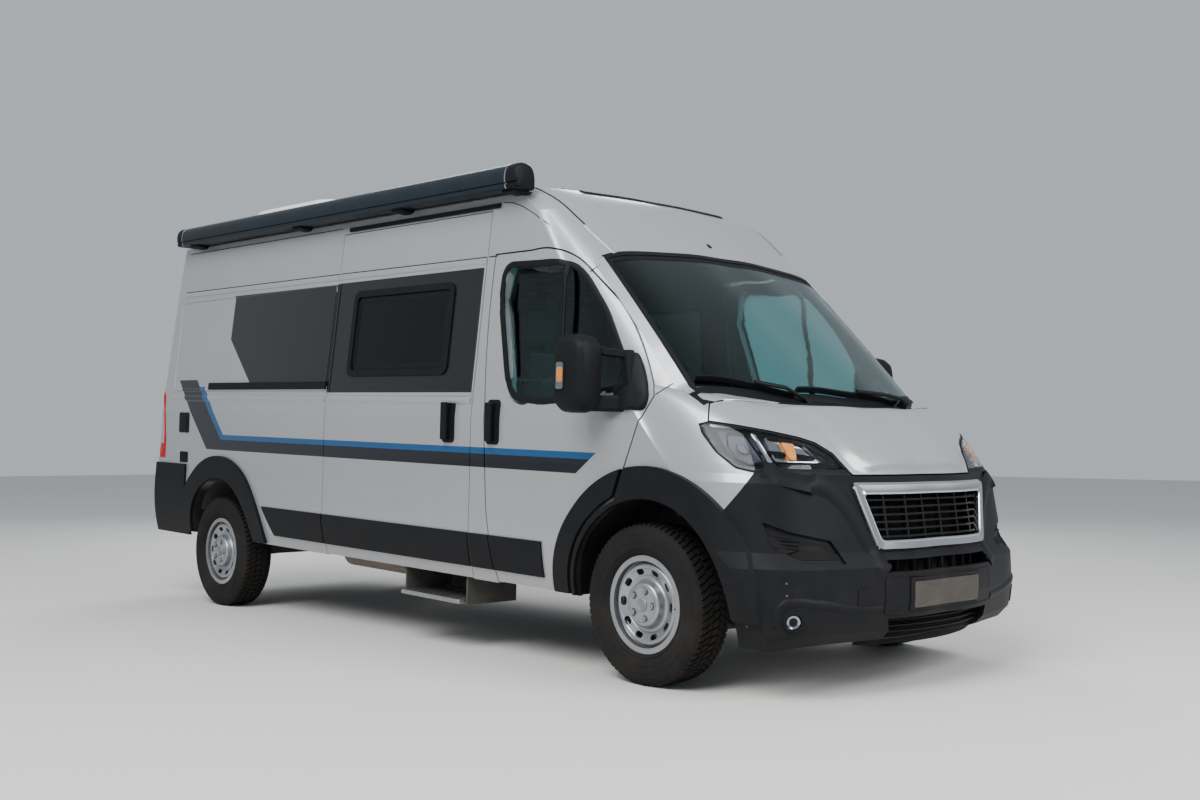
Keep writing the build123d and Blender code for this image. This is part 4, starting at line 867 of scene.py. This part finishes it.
def side_details():
    """Hatches, seams, pressed lines and ledges of the sides, dark ribbons that paint the shadow line under
    the crease, and the tail lamps' side strips.
    """
    side = Skin(from_side, *SIDE_NODES)
    for title, box, rings in (
            ("service_hatch", (-2.565, -2.422, 1.035, 1.176, 0.015), ((1.0, 0.004), (0.97, 0.007))),
            ("service_hatch_lid", (-2.546, -2.441, 1.055, 1.157, 0.012), ((1.0, 0.009), (0.95, 0.011))),
            ("side_vent", (-2.547, -2.43, 0.826, 0.902, 0.012), ((1.0, 0.003), (0.94, 0.006)))):
        relief(title, side, window_box(*box), rings, BLACK)
    for k in range(4):
        z = 0.841 + 0.015 * k
        ribbon(f"side_vent_slat_{k}", side, [(-2.533, z), (-2.444, z)], 0.006, 0.009, LINER)
    # Along the crease a dark rubber ribbon paints the shadow line under the fold; a paint-coloured ridge lies
    # below it
    for title, line in (("rear", [(-2.7, 2.036), (-0.664, 2.036)]),
                        ("door", [(-0.646, 2.036), (0.776, 2.032)]),
                        ("front", [(0.794, 2.032), (0.866, 2.033)])):
        below = [(x, z - 0.02) for x, z in line]
        ribbon(f"side_crease_{title}", side, line, 0.007, 0.0016, "seam_rubber", step=0.1)
        if title != "front":
            ribbon(f"side_fold_{title}", side, below, 0.034, 0.004, PAINT, step=0.1)
    ribbon("roof_seam_rear", side, [(-2.7, 2.318), (-0.68, 2.318)], 0.005, 0.0016, "seam_rubber", step=0.1)
    ribbon("roof_seam_front", side, [(0.87, 2.317), (0.95, 2.306), (1.035, 2.277), (1.14, 2.225),
           (1.235, 2.165)], 0.005, 0.0012, "seam_rubber")
    ribbon("door_press_line", side, window_box(-0.636, 0.768, 1.305, 1.985, 0.03), 0.02, 0.004,
           PAINT, closed=True, step=0.08)
    ribbon("rear_press_line", side, rounded([(-2.71, 1.335), (-0.676, 1.335), (-0.676, 1.98),
           (-2.73, 1.965)], 0.06), 0.026, 0.006, PAINT, closed=True, step=0.08, section=SOFT)
    for title, low, high in (("rear", -2.72, -0.672), ("door", -0.64, 0.77)):
        ribbon(f"side_ledge_{title}", side, [(low, 1.276), (high, 1.272)], 0.05, 0.01, PAINT,
               step=0.1, section=SOFT)
    corner = Skin(from_side, "side_frame_right", "tail_lamps")
    strip = [(-2.785, 0.85), (-2.776, 0.98), (-2.795, 1.15), (-2.82, 1.29), (-2.845, 1.325), (-2.875, 1.325),
             (-2.9, 0.85)]
    relief("tail_lamp_side", corner, strip, ((1.0, 0.003), (0.85, 0.006)), "red_lens", both=True)
    ribbon("corner_fold", side, [(-2.69, 0.604), (-2.46, 0.605)], 0.02, 0.006, BLACK)
    left = Skin(from_left, "side_frame_left")
    # A dark rubber ribbon paints the shadow line under the left side's crease
    ribbon("left_crease_shadow", left, [(-2.7, 2.036), (0.925, 2.034)], 0.007, 0.0016, "seam_rubber", step=0.1)
    ribbon("left_fold", left, [(-2.7, 2.016), (0.925, 2.014)], 0.034, 0.004, PAINT, step=0.1)
    for title, box in (("charge_socket", (-1.28, -1.14, 0.72, 0.85)),
                       ("filler_flap", (0.8, 0.93, 0.78, 0.91))):
        ribbon(f"{title}_line", left, window_box(*box, 0.02), 0.006, 0.002, LINER, closed=True, step=0.02)


MIRROR_FLOOR = 1.2
MIRROR_REAR = 1.6
MIRROR_CENTRE = (-1.166, 1.4)
MIRROR_SHELL = ((-1.12, 1.214), (-1.2, 1.22), (-1.246, 1.262), (-1.246, 1.49), (-1.236, 1.556),
                (-1.175, 1.586), (-1.11, 1.57), (-1.086, 1.53), (-1.086, 1.25))


def mirror_details():
    """Rounded mirrors on two arms, with panes and repeaters, in place of the plain ones on the doors."""
    for side in ("right", "left"):
        mesh = frame["nodes"][f"front_door_{side}_trim"].data
        verts = [LEVEL @ v.co for v in mesh.vertices]
        faces = [tuple(face.vertices) for face in mesh.polygons
                 if all(verts[k].z < MIRROR_FLOOR or verts[k].x < MIRROR_REAR for k in face.vertices)]
        used = sorted({k for face in faces for k in face})
        rank = {k: i for i, k in enumerate(used)}
        rest = make(f"door_trim_{side}", [verts[k] for k in used],
                    [tuple(rank[k] for k in face) for face in faces], BLACK, f"{side}_front_door")[0]
        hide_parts(f"front_door_{side}_trim")
    outline = rounded(list(MIRROR_SHELL), 0.04)
    stations = (
        # forward, share of the outline
        (1.704, 0.9), (1.69, 0.93), (1.69, 0.975), (1.698, 1.0), (1.785, 1.0), (1.822, 0.955), (1.846, 0.86),
        (1.858, 0.7),
    )
    middle = Vector(MIRROR_CENTRE)
    rows = [[(x, *p) for p in scaled(outline, middle, share)] for x, share in stations]
    make("mirror_shell", *tube(rows, False), BLACK, RIGHT_DOOR, True)
    for title, low, high in (("mirror_pane", 1.354, 1.545), ("mirror_wide_pane", 1.252, 1.342)):
        pane = window_box(-1.226, -1.106, low, high, 0.02)
        rows = [[(x, y, z) for y, z in pane] for x in (1.706, 1.7)]
        make(title, *tube(rows, False), "mirror_glass", RIGHT_DOOR, True)
    for title, box, ends, finish in (
            ("mirror_repeater", (1.7, 1.757, 1.318, 1.452, 0.015), (-1.244, -1.253), "clear_lens"),
            ("mirror_repeater_back", (1.704, 1.753, 1.323, 1.447, 0.012), (-1.244, -1.248), "lamp_mirror"),
            ("mirror_repeater_bulb", (1.712, 1.75, 1.355, 1.425, 0.012), (-1.246, -1.2505), "amber_lens")):
        rows = [[(x, y, z) for x, z in window_box(*box)] for y in ends]
        make(title, *tube(rows, False), finish, RIGHT_DOOR, True)
    arms = (
        # name, places, upward side, size
        ("mirror_arm_top", [(1.8, -1.11, 1.515), (1.84, -1.06, 1.5), (1.9, -0.975, 1.49)], (0, 0, 1),
         (0.055, 0.04)),
        ("mirror_arm_low", [(1.79, -1.12, 1.262), (1.835, -1.06, 1.262), (1.93, -0.975, 1.262)], (0, 0, 1),
         (0.065, 0.075)),
        ("mirror_post", [(1.915, -0.982, 1.228), (1.92, -0.982, 1.35), (1.895, -0.978, 1.508)], (1, 0, 0),
         (0.055, 0.055)),
    )
    for title, places, up, size in arms:
        sweep(title, places, up, size, BLACK, RIGHT_DOOR, True)
    door = Skin(from_side, "front_door_right", "front_door_right_glass", "front_wings")
    shoe = rounded([(1.86, 1.235), (2.035, 1.234), (2.042, 1.295), (1.975, 1.43), (1.925, 1.5), (1.88, 1.5),
                    (1.855, 1.42)], 0.03)
    relief("mirror_shoe", door, shoe, ((1.0, 0.012), (0.95, 0.024), (0.7, 0.03)), BLACK,
           RIGHT_DOOR, True, step=0.03)


def rear_details():
    """Hinges, handle, plate, creases and lamps of the tail, and the rear bumper's tread lines."""
    doors = Skin(from_rear, "rear_door_right", "rear_door_left", "rear_bumper", "rear_door_right_window",
                 "rear_door_left_window")
    for k, z in enumerate((0.78, 1.36, 2.05)):
        relief(f"rear_hinge_{k}", doors, window_box(-0.772, -0.66, z - 0.035, z + 0.035, 0.012),
               ((1.0, 0.012), (0.9, 0.018)), BLACK, "right_rear_door", True)
    for title, box, rings, finish, side in (
            ("rear_handle", (-0.13, -0.055, 1.02, 1.2, 0.03), ((1.0, 0.012), (0.85, 0.025), (0.6, 0.022)),
             BLACK, "right"),
            ("rear_plate_holder", (0.08, 0.64, 0.86, 1.01, 0.02), ((1.0, 0.006), (0.97, 0.01)),
             BLACK, "left"),
            ("rear_plate", (0.1, 0.62, 0.88, 0.99, 0.01), ((1.0, 0.011), (0.98, 0.013)),
             "plate_blank", "left")):
        relief(title, doors, window_box(*box), rings, finish, f"{side}_rear_door")
    for k, z in enumerate((0.7, 1.25)):
        ribbon(f"rear_door_crease_{k}", doors, [(-0.74, z), (-0.04, z)], 0.03, 0.005, PAINT,
               "right_rear_door", True)
    roof = Skin(from_rear, "roof_panel")
    relief("high_brake_lamp", roof, window_box(-0.2, 0.2, 2.352, 2.38, 0.01),
           ((1.0, 0.008), (0.9, 0.014)), "red_lens")
    lamps = Skin(from_rear, "tail_lamps")
    for k, (low, high, finish) in enumerate(((0.99, 1.06, "amber_lens"), (0.9, 0.97, "white_plastic"))):
        relief(f"tail_lamp_band_{k}", lamps, window_box(-0.945, -0.885, low, high, 0.01),
               ((1.0, 0.003), (0.9, 0.006)), finish, both=True, step=0.02)
    bumper = Skin(from_top, "rear_bumper")
    for k in range(5):
        x = -2.975 + 0.008 * k
        ribbon(f"bumper_tread_{k}", bumper, [(x, -0.6), (x, 0.6)], 0.004, 0.003, BLACK)


def step_details():
    """Grip ridges along the entrance step."""
    tread = Skin(from_top, "entrance_step")
    for k in range(7):
        y = -0.985 + 0.03 * k
        ribbon(f"step_ridge_{k}", tread, [(0.185, y), (0.66, y)], 0.008, 0.0025, BLACK,
               "sliding_step", step=0.1)


HUBS = (
    # end, forward, across, up
    ("front", FRONT_AXLE_X, 0.905, BODY_HUB_Z),
    ("rear", REAR_AXLE_X, 0.895, REAR_HUB_Z),
)
TYRE_HALF = (
    # radius and half width, from the bead to the tread
    (0.204, 0.056), (0.204, 0.078), (0.222, 0.08), (0.228, 0.09), (0.236, 0.0985), (0.24, 0.1005),
    (0.2435, 0.0985), (0.25, 0.1045), (0.262, 0.108), (0.276, 0.1095), (0.279, 0.108), (0.282, 0.1095),
    (0.296, 0.1098), (0.31, 0.108), (0.312, 0.1062), (0.315, 0.1067), (0.33, 0.1035), (0.343, 0.0985),
    (0.352, 0.092), (0.357, 0.085), (0.3575, 0.06),
)
TREAD_BLOCKS = (
    # from, to, count, turn, slant
    (-0.087, -0.062, 72, 0.0, 0.3), (-0.055, -0.025, 72, 0.5, 0.5), (-0.018, 0.018, 60, 0.25, 0.35),
    (0.025, 0.055, 72, 0.5, -0.5), (0.062, 0.087, 72, 0.0, -0.3),
)
TYRE_STEPS = 120
TREAD_ROOT = 0.35
BLOCK_START, BLOCK_END = 0.14, 0.86
# From here outwards the tread's blocks are lower
SHOULDER = 0.08
SHOULDER_DROP = 0.0035
OUTWARD = (0, -1, 0)
HUB_FACE = 0.098
HUB_CAP = ((0.031, -0.004), (0.031, 0.004), (0.026, 0.007), (0.018, 0.003), (0.012, 0.0025))
CENTRE_RIM = ((0.0835, -0.004), (0.0835, 0.0025), (0.079, 0.0035), (0.0775, 0.001), (0.06, 0.0005))
# Dark discs under the nuts paint the shade in the wheel's nut recesses
NUT_RECESS_SHADE = ((0.0175, -0.003), (0.0175, 0.002), (0.015, 0.0022))
NUT_HEAD = ((0.0095, 0.0), (0.0095, 0.0112), (0.0075, 0.0118))
VALVE = ((0.005, -0.012), (0.005, 0.018), (0.004, 0.026))
NUTS = 5
NUT_CIRCLE = 0.065
VALVE_CIRCLE = 0.19
VALVE_FACE = 0.058


def wheel_details():
    """Tyres with tread blocks and sidewall rings in place of the plain ones, hub caps, nuts on dark discs
    that paint the shade of their recesses, and valves.
    """
    for end, x, y, z in HUBS:
        centre = Vector((x, -y, z))
        profile = [(r, -w) for r, w in TYRE_HALF] + [(r, w) for r, w in reversed(TYRE_HALF)]
        rows = []
        for i in range(TYRE_STEPS):
            angle = 2 * math.pi * i / TYRE_STEPS
            out = Vector((math.cos(angle), 0, math.sin(angle)))
            rows.append([centre + out * r + Vector((0, w, 0)) for r, w in profile])
        verts, faces = tube(rows, True)
        for low, high, count, turn, slant in TREAD_BLOCKS:
            for i in range(count):
                base = len(verts)
                for w, lean in ((low, -slant / 2), (high, slant / 2)):
                    top = TYRE_R if abs(w) < SHOULDER else TYRE_R - SHOULDER_DROP
                    for share, r in ((BLOCK_START, TREAD_ROOT), (BLOCK_START, top), (BLOCK_END, top),
                                     (BLOCK_END, TREAD_ROOT)):
                        angle = 2 * math.pi * (i + turn + share + lean) / count
                        verts.append(tuple(centre + Vector((math.cos(angle) * r, w, math.sin(angle) * r))))
                faces += [tuple(range(base, base + 4)), tuple(range(base + 4, base + 8))]
                faces += band(base, base + 4, 4)
        tyres = make(f"{end}_tyre", verts, faces, "tyre_rubber", f"right_{end}_wheel", True)
        for obj, side in zip(tyres, ("right", "left")):
            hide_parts(f"tyre_{end}_{side}")
        wheel = f"right_{end}_wheel"
        face_y = -y - HUB_FACE
        spun(f"{end}_hub_cap", (x, face_y, z), OUTWARD, HUB_CAP, "cast_alloy", wheel, True)
        spun(f"{end}_centre_rim", (x, face_y, z), OUTWARD, CENTRE_RIM, "wheel_steel", wheel, True, 64)
        for k, (nut_x, nut_z) in enumerate(circle(x, z, NUT_CIRCLE, NUTS)):
            place = (nut_x, face_y, nut_z)
            # A dark disc under each nut paints the shade of its recess
            spun(f"{end}_nut_seat_{k}", place, OUTWARD, NUT_RECESS_SHADE, "cast_metal", wheel, True, 20)
            spun(f"{end}_nut_head_{k}", place, OUTWARD, NUT_HEAD, "cast_alloy", wheel, True, 6, True)
        place = (x + VALVE_CIRCLE, -y - VALVE_FACE, z)
        spun(f"{end}_valve", place, OUTWARD, VALVE, BLACK, wheel, True, 10)


AWNING_SECTION = (
    # across, up
    (-0.885, 2.362), (-0.99, 2.36), (-1.006, 2.362), (-1.012, 2.368), (-1.0135, 2.382), (-1.008, 2.385),
    (-1.008, 2.389), (-1.015, 2.392), (-1.0175, 2.41), (-1.0165, 2.432), (-1.012, 2.453), (-1.003, 2.47),
    (-0.989, 2.482), (-0.97, 2.489), (-0.945, 2.489), (-0.92, 2.481), (-0.902, 2.466), (-0.892, 2.445),
    (-0.886, 2.42), (-0.884, 2.39),
)
AWNING_CENTRE = (-0.95, 2.425)


def awning_details():
    """The awning's rolled case with its end caps, clips and brackets, in place of the plain one."""
    middle = Vector(AWNING_CENTRE)
    parts = (
        # name, stations of forward and share, finish
        ("awning_case", [(-2.64, 1.0), (-1.4, 1.0), (-0.15, 1.0), (1.03, 1.0)], "awning_case"),
        ("awning_cap_front", [(1.022, 0.98), (1.022, 1.035), (1.075, 1.035), (1.092, 0.99), (1.101, 0.9),
                              (1.104, 0.76)], BLACK),
        ("awning_cap_rear", [(-2.63, 0.98), (-2.63, 1.035), (-2.685, 1.035), (-2.7, 0.99), (-2.709, 0.9),
                             (-2.712, 0.76)], BLACK),
        ("awning_clip_front", [(1.008, 0.99), (1.008, 1.03), (1.016, 1.03), (1.016, 0.99)], "chrome_trim"),
        ("awning_clip_rear", [(-2.616, 0.99), (-2.616, 1.03), (-2.624, 1.03), (-2.624, 0.99)], "chrome_trim"),
    )
    for title, stations, finish in parts:
        rows = [[(x, *p) for p in scaled(AWNING_SECTION, middle, share)] for x, share in stations]
        made = make(title, *tube(rows, False), finish)[0]
        if title == "awning_case":
            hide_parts("awning")
    for k, x in enumerate((-2.5, -1.1, 0.0, 1.0)):
        places = [(x, -0.985, 2.36), (x, -0.9, 2.352), (x, -0.86, 2.346)]
        sweep(f"awning_bracket_{k}", places, (0, 0, 1), (0.1, 0.03), BLACK)


CELLS = 6
CELL_START = (-0.125, -0.46)
CELL_PITCH = (0.16, 0.155)
CELL_GAP = 0.01
HOOD_BOX = (-2.5, -1.48, -0.56, 0.56, 0.14)
HOOD_RINGS = ((1.0, 0.15), (0.985, 0.2), (0.965, 0.228), (0.935, 0.243), (0.9, 0.249), (0.6, 0.249),
              (0.3, 0.249))


def roof_details():
    """Solar cells, and the rooftop unit's wide hood with its vents."""
    panel = Skin(from_top, "solar_panel")
    for i in range(CELLS):
        for j in range(CELLS):
            x, y = (start + pitch * k for start, pitch, k in zip(CELL_START, CELL_PITCH, (i, j)))
            cell = window_box(x, x + CELL_PITCH[0] - CELL_GAP, y, y + CELL_PITCH[1] - CELL_GAP, 0.012)
            relief(f"solar_cell_{i}_{j}", panel, cell, ((1.0, 0.0012),), "solar_glass", step=0.1)
    hood = relief("roof_unit_hood", Skin(from_top, "roof_panel"), window_box(*HOOD_BOX), HOOD_RINGS,
                  "white_plastic", step=0.06)[0]
    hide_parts("roof_unit")
    for k in range(6):
        z = 2.45 + 0.018 * k
        sweep(f"roof_unit_vent_{k}", [(-2.3, -0.56, z), (-1.7, -0.56, z)], (0, 0, 1), (0.03, 0.008), LINER,
              both=True)


def cab_details():
    """Screen, vents and glove box of the dashboard."""
    dash = Skin(from_driver, "dashboard")
    relief("centre_screen", dash, window_box(-0.12, 0.12, 1.02, 1.15, 0.01),
           ((1.0, 0.008), (0.95, 0.01)), "screen_black")
    for k, y in enumerate((-0.82, -0.2, 0.2, 0.82)):
        relief(f"air_vent_{k}", dash, window_box(y - 0.06, y + 0.06, 1.04, 1.11, 0.02),
               ((1.0, 0.008), (0.85, 0.01), (0.75, 0.003)), BLACK)
    ribbon("glove_box_line", dash, window_box(-0.75, -0.3, 0.88, 1.02, 0.03), 0.006, 0.002,
           LINER, closed=True)


# Stuffed pieces

SEAT_Y = 0.42
SEAT_PADS = (
    # name, forward, up, depth, width, thickness, lean, crown, grooves along the depth, fill
    ("seat_pad", 0.9675, 0.863, 0.44, 0.485, 0.115, 0.0, 0.012, (-0.06, 0.1), 0.8),
    ("seat_back", 0.7175, 1.245, 0.61, 0.445, 0.095, 1.382, 0.012, (-0.12, 0.14), 0.8),
    ("head_rest", 0.595, 1.695, 0.185, 0.275, 0.088, 1.5, 0.008, (), 0.9),
)
PADS = [(f"{title}_{end}", (x, y, z), *shape, "upholstery", fill) for title, x, z, *shape, fill in SEAT_PADS
        for end, y in (("right", -SEAT_Y), ("left", SEAT_Y))]
PADS += [
    # name, centre, depth, width, thickness, lean, crown, grooves, finish, fill
    ("bench_pad", (0.09, 0.615, 0.99), 0.57, 0.55, 0.108, 0.0, 0.01, (0.0,), "upholstery", 0.8),
    ("bench_back", (-0.164, 0.605, 1.328), 0.53, 0.52, 0.098, 1.5708, 0.01, (0.0,), "upholstery", 0.8),
    ("mattress_pad", (-1.94, 0.0, 0.9545), 1.69, 1.77, 0.12, 0.0, 0.01, (-0.4, 0.0, 0.4),
     "mattress_cover", 0.9),
]
PAD_NODES = {"seat_pad_right": "seat_cushions", "mattress_pad": "mattress"}
PAD_CUTS = 30
PAD_EDGE = 0.035
GROOVE_HALF = 0.012
GROOVE_SINK = 0.004
WRINKLE = 0.0012
# Waves of the wrinkles: along, across, shift
WAVES = ((21, 5, 0), (0, 17, -3))
EDGE_SHARE = 0.95
RIM_ROUND = 1.2
PIPING = 0.005


def stuffed(name, centre, depth, width, thickness, lean, crown, grooves, finish, fill):
    """A padded block: rounded edges, crowned top and underside, stitched grooves, piping round its rim."""
    half = Vector((depth / 2, width / 2, thickness / 2 - crown))
    edge = min(PAD_EDGE, half.z * EDGE_SHARE)
    turn = Matrix.Translation(centre) @ Matrix.Rotation(-lean, 4, "Y")
    shape = bmesh.new()
    bmesh.ops.create_cube(shape, size=2)
    bmesh.ops.subdivide_edges(shape, edges=shape.edges, cuts=PAD_CUTS, use_grid_fill=True)
    for vert in shape.verts:
        spot = Vector([math.sin(math.pi / 2 * c) * h for c, h in zip(vert.co, half)])
        core = Vector([max(edge - h, min(h - edge, c)) for c, h in zip(spot, half)])
        off = spot - core
        if off.length > 1e-9:
            spot = core + off.normalized() * edge
        u, v = spot.x / half.x, spot.y / half.y
        swell = crown * (1 - u ** 4) * (1 - v ** 4)
        for groove in grooves:
            swell -= (crown + GROOVE_SINK) * math.exp(-((spot.x - groove) / GROOVE_HALF) ** 2) * (1 - v ** 8)
        wrinkle = WRINKLE * math.prod(math.sin(a * spot.x + b * spot.y + c) for a, b, c in WAVES)
        spot.z += math.copysign(min(1.0, abs(spot.z) / half.z) * (swell + wrinkle), spot.z)
        vert.co = turn @ spot
    verts = [tuple(v.co) for v in shape.verts]
    faces = [tuple(v.index for v in face.verts) for face in shape.faces]
    shape.free()
    pad = make(name, verts, faces, finish)[0]
    node = PAD_NODES.get(name)
    if node:
        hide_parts(node)
    rim = window_box(-half.x, half.x, -half.y, half.y, edge * RIM_ROUND)
    rows = []
    for i, (x, y) in enumerate(rim):
        ahead = Vector((*rim[(i + 1) % len(rim)], 0)) - Vector((*rim[i - 1], 0))
        side = Vector((ahead.y, -ahead.x, 0)).normalized()
        rows.append([turn @ (Vector((x, y, 0)) + side * out + Vector((0, 0, up)))
                     for out, up in circle(0, 0, PIPING, 6)])
    make(name + "_piping", *tube(rows, True), LINER)


for build in (window_trim, wipers, ditches, bonnet_panel, cowl_corners, surround, headlamps, bumper_details,
              side_details, mirror_details, rear_details, step_details, wheel_details, awning_details,
              roof_details, cab_details):
    build()
for row in PADS:
    stuffed(*row)


# Studio and camera

LIGHTS = (
    # name, place, aim, size, power
    ("key", (3.5, -7.5, 8.5), (0, 0, 1.0), 6.5, 1500),
    ("front", (9.0, 1.0, 5.0), (1.5, 0, 1.2), 4.0, 600),
    ("back", (-7.0, 6.0, 6.0), (0, 0, 1.5), 5.0, 500),
)

FLOOR_SIZE = 80
FLOOR_TONES = ((0.62, 0.61, 0.59), (0.66, 0.65, 0.63))
SKY = (0.82, 0.88, 0.95, 1.0)
SKY_STRENGTH = 0.6


def studio():
    """A plain pale floor, a soft sky and the lights."""
    bpy.ops.mesh.primitive_plane_add(size=FLOOR_SIZE, location=(0, 0, 0))
    floor = bpy.context.object
    floor.name = "floor"
    shader = Shader("floor", Roughness=0.9)
    shader.set("Base Color", shader.mix(shader.noise(0.4, 3.0), *FLOOR_TONES))
    floor.data.materials.append(shader.material)
    world = bpy.data.worlds.new("studio")
    bpy.context.scene.world = world
    world.use_nodes = True
    background = world.node_tree.nodes["Background"]
    background.inputs["Color"].default_value = SKY
    background.inputs["Strength"].default_value = SKY_STRENGTH
    for name, place, aim, size, power in LIGHTS:
        lamp = bpy.data.lights.new(name, "AREA")
        lamp.shape = "SQUARE"
        lamp.size = size
        lamp.energy = power
        holder = bpy.data.objects.new(name, lamp)
        bpy.context.scene.collection.objects.link(holder)
        holder.location = place
        holder.rotation_euler = (Vector(aim) - Vector(place)).to_track_quat("-Z", "Y").to_euler()


# The photograph's camera, fitted in the level body's frame
CAMERA_PLACE = (6.22872, -5.23163, 1.18079)
CAMERA_YAW = math.radians(136.6816)
CAMERA_PITCH = math.radians(0.9138)
CAMERA_ROLL = math.radians(1.27356)
FOCAL_PIXELS = 1311.114
IMAGE_WIDTH = 1200
SENSOR = 36.0


def photo_camera():
    """A camera where the photograph was taken from."""
    level = math.cos(CAMERA_PITCH)
    forward = Vector((math.cos(CAMERA_YAW) * level, math.sin(CAMERA_YAW) * level, math.sin(CAMERA_PITCH)))
    level_right = forward.cross(Vector((0, 0, 1))).normalized()
    level_up = level_right.cross(forward)
    right = level_right * math.cos(CAMERA_ROLL) + level_up * math.sin(CAMERA_ROLL)
    up = level_up * math.cos(CAMERA_ROLL) - level_right * math.sin(CAMERA_ROLL)
    turn = Matrix((right, up, -forward)).transposed().to_4x4()
    data = bpy.data.cameras.new("camera")
    data.sensor_width = SENSOR
    data.lens = FOCAL_PIXELS / IMAGE_WIDTH * SENSOR
    camera = bpy.data.objects.new("camera", data)
    camera.matrix_world = SETTLE @ Matrix.Translation(CAMERA_PLACE) @ turn
    bpy.context.scene.collection.objects.link(camera)
    bpy.context.scene.camera = camera


studio()
photo_camera()
